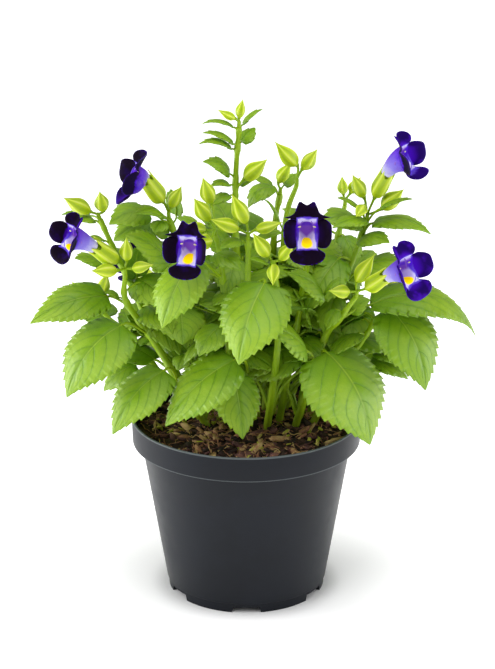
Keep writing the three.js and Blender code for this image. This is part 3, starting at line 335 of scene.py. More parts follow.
def random_source(seed):
    """The same small random number source as in the part's source."""
    mask = 0xFFFFFFFF
    state = seed
    while True:
        state = (state + 0x6D2B79F5) & mask
        t = ((state ^ (state >> 15)) * (1 | state)) & mask
        t = ((t + (((t ^ (t >> 7)) * (61 | t)) & mask)) ^ t) & mask
        yield ((t ^ (t >> 14)) & mask) / 4294967296


def full_turn(sides):
    """The angles of points spread evenly round a circle."""
    return np.linspace(0, 2 * math.pi, sides, endpoint=False)


def circles(radius, height, sides):
    """Rings of points round the pot's axis, one for each radius and height."""
    angle = full_turn(sides)
    radius = np.asarray(radius, float)[:, None]
    height = np.broadcast_to(np.asarray(height, float)[:, None], (len(radius), sides))
    return np.stack([radius * np.cos(angle), radius * np.sin(angle), height], axis=-1)


class Skin:
    """Surfaces gathered into one mesh, with a place (u, v) and a tone for each point."""

    def __init__(self):
        self.points = []
        self.places = []
        self.tones = []
        self.quads = []
        self.paints = []
        self.size = 0

    def grid(self, points, place=0, tone=0.5, paint=0):
        """Adds quads over rows and columns of points, with the last column joined to the first.

        place is u and v for each point, tone a number for each, and paint a material index, or one for
        each column.
        """
        rows, columns = points.shape[:2]
        index = np.arange(rows * columns).reshape(rows, columns) + self.size
        index = np.hstack([index, index[:, :1]])
        quads = np.stack([index[:-1, :-1], index[:-1, 1:], index[1:, 1:], index[1:, :-1]], axis=-1)
        self.points.append(points.reshape(-1, 3))
        self.places.append(np.broadcast_to(place, (rows, columns, 2)).reshape(-1, 2))
        self.tones.append(np.broadcast_to(tone, (rows, columns)).reshape(-1))
        self.quads.append(quads.reshape(-1, 4))
        self.paints.append(np.broadcast_to(paint, quads.shape[:2]).reshape(-1))
        self.size += rows * columns

    def mesh(self, name):
        """The mesh, in metres in the frame, with doubles merged and faces turned outwards."""
        points = np.vstack(self.points) * MM + POT_AXIS
        quads = np.vstack(self.quads)
        places = np.vstack(self.places)
        mesh = bpy.data.meshes.new(name)
        mesh.vertices.add(len(points))
        mesh.vertices.foreach_set("co", points.ravel())
        mesh.loops.add(quads.size)
        mesh.loops.foreach_set("vertex_index", quads.ravel())
        mesh.polygons.add(len(quads))
        mesh.polygons.foreach_set("loop_start", np.arange(len(quads)) * 4)
        mesh.polygons.foreach_set("material_index", np.concatenate(self.paints).astype(int))
        mesh.update(calc_edges=True)
        layer = mesh.uv_layers.new(name="place")
        layer.uv.foreach_set("vector", places[quads.ravel()].ravel())
        tone = mesh.attributes.new("tone", "FLOAT", "POINT")
        tone.data.foreach_set("value", np.concatenate(self.tones).astype(np.float32))
        close_up(mesh)
        return mesh

    def piece(self, name, materials, slot, nodes=()):
        """Makes a piece of the surfaces, which rides on the frame and stands for some of its nodes."""
        mesh = self.mesh(name)
        for material in materials:
            mesh.materials.append(material)
        piece = bpy.data.objects.new(name, mesh)
        bpy.context.scene.collection.objects.link(piece)
        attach(piece, BODY)
        if nodes:
            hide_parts(*nodes)
        return piece


def close_up(mesh, reach=2e-6):
    """Merges doubled points, drops the faces that this empties, and turns all faces outwards."""
    work = bmesh.new()
    work.from_mesh(mesh)
    bmesh.ops.remove_doubles(work, verts=work.verts, dist=reach)
    bmesh.ops.dissolve_degenerate(work, edges=work.edges, dist=reach / 2)
    bmesh.ops.recalc_face_normals(work, faces=work.faces)
    for face in work.faces:
        face.smooth = True
    work.to_mesh(mesh)
    work.free()


def clear_axis(direction):
    """The frame's z axis, or its y axis for a direction that is close to z."""
    return Z_AXIS if abs(direction[2]) < 0.8 else Y_AXIS


def section_frames(path):
    """Two directions square to a path and to each other at each of its points."""
    tangent = unit(np.gradient(path, axis=0))
    side = unit(np.cross(clear_axis(unit(path[-1] - path[0])), tangent))
    return side, np.cross(tangent, side)


def tube(skin, path, radius, sides=8, tone=0.5, paint=0):
    """Adds a tube along a path, closed to a point at both ends.

    Its point at angle a is path + radius (side cos a + up sin a). radius is a number for each ring, or
    for each ring and side.
    """
    side, up = section_frames(path)
    angle = full_turn(sides)
    radius = np.broadcast_to(np.asarray(radius, float).reshape(len(path), -1), (len(path), sides))
    rings = (path[:, None] + radius[..., None] * (np.cos(angle)[None, :, None] * side[:, None]
                                                  + np.sin(angle)[None, :, None] * up[:, None]))
    ends = [np.broadcast_to(path[k], (1, sides, 3)) for k in (0, -1)]
    rings = np.concatenate([ends[0], rings, ends[1]])
    share = np.linspace(0, 1, len(rings))[:, None] * np.ones(sides)
    place = np.stack([share, np.broadcast_to(angle / math.pi - 1, share.shape)], axis=-1)
    if np.ndim(tone) == 1:
        tone = np.concatenate([tone[:1], tone, tone[-1:]])[:, None]
    skin.grid(rings, place, tone, paint)


class Stem:
    """A stem of the plant: its curve, and where it passes a height."""

    def __init__(self, points):
        self.points = points
        self.samples = smooth_curve(points, np.linspace(0, 1, 20001))

    def at(self, height):
        return np.array([np.interp(height, self.samples[:, 2], self.samples[:, k]) for k in range(3)])

    def tangent_at_top(self):
        return unit(self.samples[-1] - self.samples[-5])


class Leaf:
    """A leaf: where its petiole springs, and its blade's frame, as in the part's source."""

    def __init__(self, stem, root, base, tip, width, arch, roll):
        self.stem = stem
        self.root = root
        self.base = base
        self.width = width
        self.arch = arch
        along = tip - base
        self.length = np.linalg.norm(along)
        along = along / self.length
        out = Z_AXIS - along * along[2]
        if np.linalg.norm(out) < 0.2:
            out = -Y_AXIS + along * along[1]
        self.along = along
        self.out = turned(unit(out), along, roll)
        self.across = np.cross(self.out, along)
        self.tip = tip

    def place(self, along, across, lift):
        """A point from its distances along the midrib, across it and out of the blade."""
        return (self.base + along[..., None] * self.along + across[..., None] * self.across
                + lift[..., None] * self.out)


# The part's own blade: where it is widest, how round its foot is, and its teeth, lobes and hang.
WIDEST = 0.36
FOOT_POWER = 0.5
CAD_TOOTH = 0.12
CAD_TOOTH_LEAN = 0.45
CAD_LOBE = 0.1
CAD_HANG = 0.22


def blade_profile(u):
    """Half a blade's width against its widest, at share u: (u / 0.36)^0.5 ((1 - u) / 0.64)^0.89."""
    u = np.clip(u, 0, 1)
    return (u / WIDEST) ** FOOT_POWER * ((1 - u) / (1 - WIDEST)) ** (FOOT_POWER * (1 - WIDEST) / WIDEST)


def cad_points(leaf):
    """The margin points of the part's own blade, on both faces, to tell where the leaf was set."""
    teeth = 4 if leaf.length > 46 else 3 if leaf.length > 34 else 2 if leaf.length > 21 else 1
    steps = 2 * teeth + 1
    k = np.arange(1, steps + 1)
    u = np.tile(k / steps, 2)
    tooth = np.tile((k % 2) * (k < steps), 2)
    v = np.repeat([-1.0, 1.0], steps)
    half = leaf.width / 2 * blade_profile(u) * (1 + CAD_TOOTH * tooth)
    along = leaf.length * (u - CAD_LOBE * (1 - u) ** 4 + CAD_TOOTH_LEAN * tooth / steps)
    lift = 4 * leaf.arch * u * (1 - u) - CAD_HANG * half
    face = CAD_BLADE_THICKNESS / 2
    return np.vstack([leaf.place(along, v * half, lift + face), leaf.place(along, v * half, lift - face)])


def node_tree_of(stem):
    """The points of a leafy stem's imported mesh, ready to be searched."""
    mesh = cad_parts["leafy_stem_" + stem].data
    tree = kdtree.KDTree(len(mesh.vertices))
    for vertex in mesh.vertices:
        tree.insert(vertex.co, vertex.index)
    tree.balance()
    return tree


def settled(tree, candidates):
    """The first of a leaf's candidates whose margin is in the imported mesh, or None if it was left out."""
    for leaf in candidates:
        points = cad_points(leaf) * MM + POT_AXIS
        found = sum(tree.find(Vector(p))[2] < MATCH_REACH * MM for p in points)
        if found >= MATCHES_NEEDED:
            return leaf
    return None


def heading_step(heading, slope, length):
    """A step of some length at a compass heading and a slope, both in degrees."""
    yaw = math.radians(heading)
    pitch = math.radians(slope)
    level = math.cos(pitch)
    return length * np.array([level * math.cos(yaw), level * math.sin(yaw), math.sin(pitch)])


def all_leaves(stems):
    """Every leaf of the plant, where the part's source set it."""
    trees = {name: node_tree_of(name) for name in stems}
    leaves = []
    for stem, height, base, tip, width, arch, roll in LEAVES:
        root = stems[stem].at(height)
        shifts = [SIGHT_LINE * slide for slide in SLIDES]
        leaf = settled(trees[stem], (
            Leaf(stem, root, np.array(base) + shift, np.array(tip) + shift, width, arch, roll)
            for shift in shifts))
        if leaf and (stem, height) in RESHAPED:
            leaf = Leaf(stem, root, leaf.base, leaf.tip, *RESHAPED[stem, height])
        leaves.append(leaf)
    draw = random_source(SEED)
    for stem, (heights, turn, front) in PAIRS.items():
        for level, height in enumerate(heights):
            for side in (0, 1):
                heading = turn + 90 * level + 180 * side + PAIR_HEADING_SPREAD * (next(draw) - 0.5)
                rise = lerp(*PAIR_RISES, next(draw))
                share = (level + next(draw)) / (len(heights) + 1)
                droop = DROOP_LEAST + DROOP_SPREAD * next(draw) - DROOP_TOP * share
                roll = PAIR_ROLL_SPREAD * (next(draw) - 0.5)
                if front and math.sin(math.radians(heading)) < FRONT_LIMIT:
                    continue
                size = lerp(PAIR_LONGEST, PAIR_SHORTEST, share)
                root = stems[stem].at(height + side * PAIR_STEP)
                leaves.append(settled(trees[stem], (
                    paired_leaf(stem, root, heading + yaw, rise + tilt, tilt - droop, size, roll)
                    for yaw, tilt in TURNS)))
    return [leaf for leaf in leaves if leaf]


def paired_leaf(stem, root, heading, rise, fall, size, roll):
    """A leaf of a pair: its petiole rises from the root, and its blade goes on from there."""
    base = root + heading_step(heading, rise, size * PETIOLE_SHARE)
    tip = base + heading_step(heading, fall, size)
    return Leaf(stem, root, base, tip, size * PAIR_WIDTH_SHARE, size * PAIR_ARCH_SHARE, roll)


# Small leaves inside the plant: their number, the least and greatest height of their roots and length,
# the radius of the cone that holds them at its foot and top, and the cone's middle.
INNER_SEED = 11
INNER_LEAVES = 150
INNER_HEIGHTS = (112, 196)
INNER_LENGTHS = (19, 36)
INNER_RADII = (58, 66)
INNER_CENTRE = 10
INNER_FRONT = -24  # no leaf's middle is in front of this
INNER_LOWEST = 126  # and no tip is lower than this
INNER_RISE = 20
INNER_DROOPS = (-12, -52)
INNER_ROLL_SPREAD = 50
INNER_SHADE_TONE = 0.25  # how much of the young colour a leaf inside the plant keeps against another at its height: painted shade inside the plant
# Those that are placed one by one, as in the table of leaves.
INNER_BY_HAND = [
    ("a", 194, [-9, 8, 201], [-25, 3, 208], 15, 3, -60),
    ("a", 184, [-1, 8, 191], [15, 3, 197], 13, 2, 60),
    ("i", 204, [-43, 9, 207], [-53, 6, 214], 10, 2, -60),
    ("g", 164, [57, -16, 172], [68, -21, 179], 12, 2, 60),
]


def inner_leaves(stems):
    """Small leaves on short petioles inside the plant, which the part itself does without.

    A leaf is kept if its middle is inside a cone that widens upwards, and not in front of the others.
    """
    draw = random_source(INNER_SEED)
    names = list(stems)
    kept = []
    while len(kept) < INNER_LEAVES:
        name = names[int(next(draw) * len(names))]
        share = next(draw)
        root = stems[name].at(lerp(*INNER_HEIGHTS, share))
        heading = 360 * next(draw)
        droop = lerp(*INNER_DROOPS, next(draw))
        roll = INNER_ROLL_SPREAD * (next(draw) - 0.5)
        length = lerp(*INNER_LENGTHS, next(draw))
        leaf = paired_leaf(name, root, heading, INNER_RISE, droop, length, roll)
        middle = (leaf.base + leaf.tip) / 2
        inside = np.hypot(middle[0], middle[1] - INNER_CENTRE) < lerp(*INNER_RADII, share)
        if inside and middle[1] > INNER_FRONT and leaf.tip[2] > INNER_LOWEST:
            kept.append(leaf)
    for name, height, base, tip, *form in INNER_BY_HAND:
        kept.append(Leaf(name, stems[name].at(height), np.array(base), np.array(tip), *form))
    return kept


# The rows of a blade, from the midrib to the margin, and its form. Lengths are in mm.
BLADE_ROWS = np.array([0, 0.05, 0.12, 0.22, 0.34, 0.47, 0.6, 0.72, 0.83, 0.92, 1])
TOOTH_LENGTH = 3.7
TOOTH_NUMBERS = (4, 15)
TOOTH_STEPS = np.array([0, 0.28, 0.56, 0.84])
TOOTH_PEAK = 0.84
TOOTHED_LENGTHS = (14, 38)
TIP_TAPER = 0.34
MARGIN_HANG = 0.22
CREASE_DEPTH = 0.3
CREASE_WIDTH = 0.8
RUFFLE_SHARE = 0.012
VEIN_SLANT = 0.24
VEIN_CURVE = 0.3
VEIN_CROWD = 0.2


def vein_phase(u, side, pairs):
    """Whole numbers on the side veins: q (1 + 0.2 q) pairs, where q = u - 0.24 side - 0.3 side^2."""
    q = u - VEIN_SLANT * side - VEIN_CURVE * side**2
    return pairs * q * (1 + VEIN_CROWD * q)


def blade_surface(leaf, u, v, teeth, looks, wave):
    """A blade's midplane at u along and v across, as distances along, across and out.

    The half width is the profile's, with saw teeth that lean to the tip. The blade arches along the
    midrib, hangs at the margin, bulges between the side veins and is creased along the midrib.
    """
    side = np.abs(v)
    half = leaf.width / 2 * blade_profile(u) * (1 - TIP_TAPER * smooth(2 * u - 1))
    place = (u * teeth) % 1.0
    saw = np.where(place < TOOTH_PEAK, (place / TOOTH_PEAK) ** 1.3, (1 - place) / (1 - TOOTH_PEAK))
    saw = saw * smooth((u - 0.04) / 0.1) * smooth((1 - u) / 0.22) * smooth((side - 0.7) / 0.3)
    toothed = smooth((leaf.length - TOOTHED_LENGTHS[0]) / (TOOTHED_LENGTHS[1] - TOOTHED_LENGTHS[0]))
    depth = looks.tooth_depth * leaf.width / 2 * toothed
    spread = half * side * 1.02 + depth * saw * blade_profile(u) ** 0.5
    lobe = 0.1 * side**1.5 * (1 - u) ** 4 * smooth(u / 0.12)
    along = leaf.length * (u - lobe + 0.4 * saw / teeth)
    phase = vein_phase(u, side, looks.vein_pairs)
    between = np.abs((phase + 0.5) % 1.0 - 0.5) * 2
    fade = smooth((1 - side) / 0.2) * smooth((1 - u) / 0.12) * smooth(u / 0.06) * smooth(side / 0.12)
    quilt = looks.quilting * leaf.length / 50 * (1 - (1 - between) ** 6) * fade
    crease = -CREASE_DEPTH * np.exp(-((side * half / CREASE_WIDTH) ** 2)) * smooth((1 - u) / 0.3)
    ruffle = RUFFLE_SHARE * leaf.length * side**3 * (1 - u)
    ruffle = ruffle * np.sin(2 * math.pi * (2.3 * u + wave) + np.sign(v))
    lift = 4 * leaf.arch * u * (1 - u) - MARGIN_HANG * side**2 * half + quilt + crease + ruffle
    return along, np.sign(v) * spread, lift


def add_blade(skin, leaf, looks, tone, wave):
    """Adds a blade as a closed skin: each row runs over the upper face and back under the lower one."""
    teeth = int(np.clip(round(leaf.length / TOOTH_LENGTH), *TOOTH_NUMBERS))
    u = np.concatenate([(k + TOOTH_STEPS) / teeth for k in range(teeth)])
    u = np.concatenate([u[u > 0.004], [0.997]])
    v = np.concatenate([-BLADE_ROWS[:0:-1], BLADE_ROWS])
    grid_u, grid_v = np.meshgrid(u, v, indexing="ij")
    along, across, lift = blade_surface(leaf, grid_u, grid_v, teeth, looks, wave)
    half = looks.blade_thickness / 2
    upper = leaf.place(along, across, lift + half)
    lower = leaf.place(along, across, lift - half)[:, ::-1]
    rings = np.concatenate([upper, lower], axis=1)
    place = np.stack([grid_u, grid_v], -1)
    place = np.concatenate([place, place[:, ::-1]], axis=1)
    foot, tip = (np.broadcast_to(end, (1,) + rings.shape[1:]) for end in (leaf.base, leaf.tip))
    rings = np.concatenate([foot, rings, tip])
    place = np.concatenate([place[:1] * [0, 1], place, place[-1:]])
    paint = np.where(np.arange(2 * len(v)) < len(v) - 1, 1, 2)
    skin.grid(rings, place, tone, paint)


# A petiole's radius at the blade's foot, and the midrib's at the tip.
RIB_RADII = (0.75, 0.16)


def add_petiole(skin, leaf, looks, tone, wave):
    """Adds a petiole that runs on under the blade as its midrib, thinning to the tip."""
    span = np.linalg.norm(leaf.base - leaf.root)
    share = np.linspace(0, 1, 9)[:-1, None]
    start = leaf.base - leaf.root
    end = lerp(unit(start), leaf.along, 0.6) * span
    petiole = leaf.root + start * share + (share**3 - share**2) * (end - start)
    u = np.linspace(0, 0.93, 14)
    along, across, lift = blade_surface(leaf, u, np.zeros_like(u), 4, looks, wave)
    radius = lerp(*RIB_RADII, u**0.8) * min(1, 0.55 + leaf.length / 90)
    under = looks.blade_thickness / 2 + 0.25 * radius
    under[0] = 0
    path = np.vstack([petiole, leaf.place(along, across, lift - under)])
    radii = np.concatenate([np.linspace(1.0, 0.92, len(petiole)) * radius[0] * 1.1, radius])
    tube(skin, path, radii, tone=tone)


# A stem's radius at its foot and top, those of the piece from its top to a spray's hub, and how much a
# joint swells a stem.
STEM_RADII = (2.05, 1.2)
TOP_RADII = (1.2, 1.2, 1.15, 1.1, 1.1, 0.7)
JOINT_SWELL = 0.35
JOINT_LIMIT = 0.5
JOINT_REACH = 1.8


def add_stem(skin, stem, heights):
    """Adds a square stem with rounded edges and shallow grooves, swollen at each of its joints.

    The radius at angle a is the stem's own times 1 + 0.08 cos 4a.
    """
    share = np.linspace(0, 1, 72)
    path = smooth_curve(stem.points, share)
    plain = lerp(*STEM_RADII, share)
    swell = sum(JOINT_SWELL * np.exp(-(((path[:, 2] - height) / JOINT_REACH) ** 2)) for height in heights)
    radius = plain + np.minimum(swell, JOINT_LIMIT)
    rings = radius[:, None] * (1 + 0.08 * np.cos(4 * full_turn(16)))
    tube(skin, path, rings, 16, tone=smooth((path[:, 2] - SOIL_TOP + 2) / 26))


SHOOTS_A_STEM = 3
SHOOT_HEIGHTS = (96, 112)
SHOOT_HEADINGS = (-15, 195)
SHOOT_SLOPES = (66, 42)  # of its lower and its upper half
SHOOT_LENGTHS = (14, 22)  # of its lower half
SHOOT_END = 20
SHOOT_RADII = (1.15, 0.75)
SHOOT_LEAF_LENGTHS = (16, 24)
SHOOT_LEAF_RISE = 25
SHOOT_LEAF_FALL = -22
# Leaves look older below the first of these heights, and young above the second.
YOUNG_FROM = 110
YOUNG_TO = 240


def add_shoot(skin, name, stem, looks, random):
    """Adds a thin shoot that bends up and outwards from a stem's foot, with a small leaf on its end."""
    root = stem.at(lerp(*SHOOT_HEIGHTS, random.random()))
    heading = lerp(*SHOOT_HEADINGS, random.random())
    middle = root + heading_step(heading, SHOOT_SLOPES[0], lerp(*SHOOT_LENGTHS, random.random()))
    end = middle + heading_step(heading, SHOOT_SLOPES[1], SHOOT_END)
    path = smooth_curve([root, middle, end], np.linspace(0, 1, 12))
    tube(skin, path, np.linspace(*SHOOT_RADII, 12), tone=0.9)
    length = lerp(*SHOOT_LEAF_LENGTHS, random.random())
    leaf = paired_leaf(name, end, heading, SHOOT_LEAF_RISE, SHOOT_LEAF_FALL, length, 0)
    add_blade(skin, leaf, looks, 0.2, 0.5)
    add_petiole(skin, leaf, looks, 0.8, 0.5)


def bud_frame(foot, point, seed):
    """The axis of a bud and two directions square to it, turned by a seed."""
    axis = unit(point - foot)
    side = unit(np.cross(clear_axis(axis), axis))
    side = turned(side, axis, 72 * seed)
    return axis, side, np.cross(axis, side)


BUD_KEELS = 5
BUD_SIDES = 60
BUD_SHOULDER = 0.38  # the share of a bud's length where it is widest
CALYX_WALL = 0.35


def add_bud(skin, hub, foot, point, radius, looks, seed, opened=False):
    """Adds a bud on its stalk: round at the foot and pointed, with five keels down its length.

    The radius at share s and angle a is the bud's, times a rise that is round at the foot, a fall that
    draws out to a sharp tip, and 0.98 + 0.03 cos 5a + keel, where keel is a narrow peak at each fifth of a
    turn. An opened one is a calyx: it ends in five teeth round the bloom's tube, and its inside goes back
    down.
    """
    foot = np.array(foot, float)
    point = np.array(point, float)
    axis, side, up = bud_frame(foot, point, seed)
    length = np.linalg.norm(point - foot)
    angle = full_turn(BUD_SIDES)
    wave = np.cos(BUD_KEELS * angle)
    fifth = (angle * BUD_KEELS / (2 * math.pi) + 0.5) % 1.0 - 0.5
    s = np.concatenate([[0.012, 0.03, 0.06], np.linspace(0.1, 1, 22)])
    body = (1 - (1 - np.minimum(s / BUD_SHOULDER, 1)) ** 2) ** 0.62
    fall = np.clip((s - BUD_SHOULDER) / (1 - BUD_SHOULDER), 0, 1)
    if opened:
        body = body * lerp(1.0, 0.86, smooth(fall))
    else:
        s = s * 0.995
        body = body * lerp(1 - fall**1.7, 0.5 + 0.5 * np.cos(math.pi * fall), 0.62) + 0.012
    ridge = 0.98 + 0.03 * wave + looks.keel_height * np.exp(-((fifth / 0.1) ** 2))
    wide = radius * body[:, None] * lerp(1.0, ridge, np.minimum(1, s * 6)[:, None])
    reach = s[:, None] * length * np.ones(BUD_SIDES)
    if opened:
        tooth = (0.5 + 0.5 * wave) ** 2
        reach = reach * (1 + 0.3 * (tooth - 0.35) * smooth((s[:, None] - 0.6) / 0.4))
    bend = 0.05 * length * (s**2)[:, None, None] * turned(side, axis, 40)
    ring = np.cos(angle)[None, :, None] * side + np.sin(angle)[None, :, None] * up
    body_points = foot + reach[..., None] * axis + wide[..., None] * ring + bend
    place = np.stack(np.broadcast_arrays(s[:, None], wave), axis=-1)
    if opened:
        closing = [body_points[:-9:-1] - CALYX_WALL * ring, foot + 0.6 * length * axis]
        places = [place[:1], place, place[:-9:-1], place[-9:-8]]
    else:
        closing = [point + bend[-1, 0]]
        places = [place[:1], place, place[-1:]]
    rows = [np.broadcast_to(row, (1, BUD_SIDES, 3)) if np.ndim(row) == 1 else row
            for row in (foot, body_points, *closing)]
    skin.grid(np.concatenate(rows), np.concatenate(places), lerp(0.2, 0.9, seed % 1.0), 1)
    add_stalk(skin, hub, foot, axis, radius)


STALK_RADII = (0.62, 0.75)
STALK_FLARE = 0.16


def add_stalk(skin, hub, foot, axis, radius):
    """Adds a bud's thin stalk, which bends from the hub to the bud's own axis and widens under it."""
    share = np.linspace(0, 1, 14)[:, None]
    span = np.linalg.norm(foot - hub)
    start = (foot - hub) * 0.9
    end = axis * span
    path = ((2 * share**3 - 3 * share**2 + 1) * hub + (share**3 - 2 * share**2 + share) * start
            + (3 * share**2 - 2 * share**3) * (foot + 0.06 * radius * axis) + (share**3 - share**2) * end)
    swell = lerp(*STALK_RADII, share[:, 0]) + STALK_FLARE * radius * smooth((share[:, 0] - 0.8) / 0.2)
    tube(skin, path, swell, tone=1.0)


# The bloom's sizes, as in the part's source, seen from the front: across, and up.
MOUTH = np.array([5.9, 8.4])
MOUTH_ROUNDING = 0.8
CORNER = 46
TUBE_RADIUS = 4.1
TUBE_FOOT_SHARE = 0.9
TUBE_SWELL = 0.72
THROAT_SHARE = 0.6
JOINT_GAP = 0.3
LOBE_CUP = 1.6
SIDE_LOBE = [[6.6, -7.6, 2.5], [10, -7.3, 6.2], [12.2, -4, 8.8], [12.7, 1, 9.2], [12.2, 5.6, 8.6],
             [8.6, 7.9, 4]]
LIP_HALF = [[9, 8.1, 5], [12.2, 8.8, 7], [9, 9.6, 4.6], [6.6, 11, 2.4], [5.2, 14.4, 1.2], [3.6, 16.8, 0.8]]
LIP_NOTCH = [0, 14.9, 1.4]
LOWER_HALF = [[4.6, -15.7, 8], [8.2, -13.8, 7.2], [9.5, -10.6, 5.4], [6.4, -8.3, 2.2]]
LOWER_TIP = [0, -16.3, 8.2]


def mirrored(points):
    """The points on the bloom's other side, in the opposite order."""
    return [[-x, y, depth] for x, y, depth in reversed(points)]


# Each lobe's outer edge from corner to corner: across, up and forward.
LOBES = [SIDE_LOBE, [*LIP_HALF, LIP_NOTCH, *mirrored(LIP_HALF)], mirrored(SIDE_LOBE),
         [*mirrored(LOWER_HALF), LOWER_TIP, *LOWER_HALF]]
# The upper lip of a bloom whose lip folds up into a rounded head.
FOLDED_HALF = [[6.8, 8.6, 3], [7.6, 11.4, 4.6], [7.2, 14.6, 3.6], [4.8, 17, 0.8], [2, 17, -1.2]]
FOLDED_LIP = [*FOLDED_HALF, [0, 15.4, -1.2], *mirrored(FOLDED_HALF)]
FOLDED_LIPS = "fgil"
# The lower lip of a bloom that holds it out in front.
FORWARD_HALF = [[4.6, -11.4, 12], [7.6, -10.9, 10], [8.6, -9.8, 6.6], [6.6, -8.3, 2.6]]
FORWARD_LIP = [*mirrored(FORWARD_HALF), [0, -11.6, 12.6], *FORWARD_HALF]
FORWARD_LIPS = "f"
# The blooms whose lobes catch the light.
BRIGHT_BLOOMS = "fgnq"
LOBE_STEPS = 36
LOBE_RUFFLE = 0.3
LOBE_CURL = 0.7
PETAL_THICKNESS = 0.4
PETAL_GROWTH = 1 + PETAL_THICKNESS / MOUTH[0]  # how much wider the tube is outside than inside
FRONT_VIEW = 40  # the width of the view that a bloom's face is painted by, in mm


class BloomFrame:
    """A bloom's own directions: across, up and out of its face."""

    def __init__(self, mouth, face, lean, size, folded, forward):
        self.out = unit(np.array(face, float))
        up = unit(Z_AXIS - self.out * self.out[2])
        self.up = turned(up, self.out, lean)
        self.across = np.cross(self.up, self.out)
        self.centre = np.array(mouth, float)
        self.size = size
        self.folded = folded
        self.forward = forward

    def place(self, across, up, depth):
        """A point from its front view and its depth, in the full bloom's millimetres."""
        return (self.centre + self.size * (across[..., None] * self.across + up[..., None] * self.up
                                           + depth[..., None] * self.out))


def lobe_corners(index):
    """The angles in degrees where a lobe starts and ends on the mouth's oval: right, top, left, low."""
    before, after = (90 - CORNER, CORNER) if index % 2 else (CORNER, 90 - CORNER)
    return 90 * index - before, 90 * (index + 1) - after


def mouth_angles():
    """The angle of each column of the bloom on the mouth's oval, lobe after lobe, in radians."""
    angles = []
    for index in range(4):
        start, end = lobe_corners(index)
        angles.append(np.radians(start + (end - start) * np.arange(LOBE_STEPS) / LOBE_STEPS))
    return np.concatenate(angles)


def mouth_oval(angle):
    """The mouth's outline: an oval whose cosine and sine are drawn out so that it grows squarer."""
    waves = np.stack([np.cos(angle), np.sin(angle)], axis=-1)
    return MOUTH * np.sign(waves) * np.abs(waves) ** MOUTH_ROUNDING


def lobe_edges(bloom):
    """The outer edge of the four lobes, a point for each column: across, up and forward.

    Each edge is the smooth curve from a corner of the mouth, through the lobe's points, to the next.
    """
    edges = []
    for index, points in enumerate(LOBES):
        if bloom.folded and index == 1:
            points = FOLDED_LIP
        if bloom.forward and index == 3:
            points = FORWARD_LIP
        corners = [[*mouth_oval(np.radians(a)), 0] for a in lobe_corners(index)]
        path = np.array([corners[0], *points, corners[1]])
        edges.append(smooth_curve(path, np.arange(LOBE_STEPS) / LOBE_STEPS))
    return np.vstack(edges)


def lobe_rows(bloom, shares, shift, grown):
    """Rows of points over all four lobes, from the mouth to the edge.

    Seen from the front, a point is at its share of the line from the mouth's oval to the lobe's edge. It
    comes forward by the edge's own depth times 1 - (1 - share)^1.6, less a slight curl at the edge.
    """
    angle = mouth_angles()
    edge = lobe_edges(bloom)
    root = mouth_oval(angle) * grown
    span = np.linalg.norm(edge[:, :2] - root, axis=-1)
    share = shares[:, None]
    flat = lerp(root[None], edge[None, :, :2], share[..., None])
    wave = LOBE_RUFFLE * share**2 * np.sin(9 * angle + 14 * bloom.size) * smooth(span / 5)
    curl = LOBE_CURL * share**4 * smooth(span / 5)
    depth = edge[:, 2] * (1 - (1 - share) ** LOBE_CUP) - curl + wave + shift
    return bloom.place(flat[..., 0], flat[..., 1], depth), flat


def throat_rows(bloom, foot, axis, shares):
    """Rows down the inside of the tube, which stay clear of its outside, and their places seen flat."""
    rows = tube_rows(bloom, foot, axis, 1 - 0.6 * shares)
    middle = rows.mean(axis=1, keepdims=True)
    inner = lerp(1 / PETAL_GROWTH, 0.8, smooth(shares / 0.3))[:, None, None]
    flat = mouth_oval(mouth_angles()) * lerp(1.0, THROAT_SHARE, shares)[:, None, None]
    return lerp(middle, rows, inner), flat


def tube_rows(bloom, foot, axis, shares):
    """Rows along the outside of the tube, from the calyx to the mouth.

    They are ovals square to a cubic curve that leaves the calyx along its axis and meets the mouth.
    Their size is the parabola through the tube's radius, its size halfway and the mouth.
    """
    start = foot + JOINT_GAP * axis
    bend = np.linalg.norm(bloom.centre - start) * 0.45
    points = [start, start + 0.7 * bend * axis, bloom.centre - 0.4 * bend * bloom.out, bloom.centre]
    s = shares[:, None]
    path = ((1 - s) ** 3 * points[0] + 3 * s * (1 - s) ** 2 * points[1]
            + 3 * s**2 * (1 - s) * points[2] + s**3 * points[3])
    slope = unit(3 * (1 - s) ** 2 * (points[1] - points[0]) + 6 * s * (1 - s) * (points[2] - points[1])
                 + 3 * s**2 * (points[3] - points[2]))
    across = unit(np.cross(bloom.up, slope))
    up = np.cross(slope, across)
    mouth = MOUTH * bloom.size * PETAL_GROWTH
    middle = MOUTH * bloom.size * TUBE_SWELL
    narrow = TUBE_RADIUS * TUBE_FOOT_SHARE * bloom.size
    half = narrow * (1 - 2 * s) * (1 - s) + 4 * middle * s * (1 - s) + mouth * s * (2 * s - 1)
    oval = mouth_oval(mouth_angles()) / MOUTH
    return (path[:, None] + (half[:, :1] * oval[:, 0])[..., None] * across[:, None]
            + (half[:, 1:] * oval[:, 1])[..., None] * up[:, None])


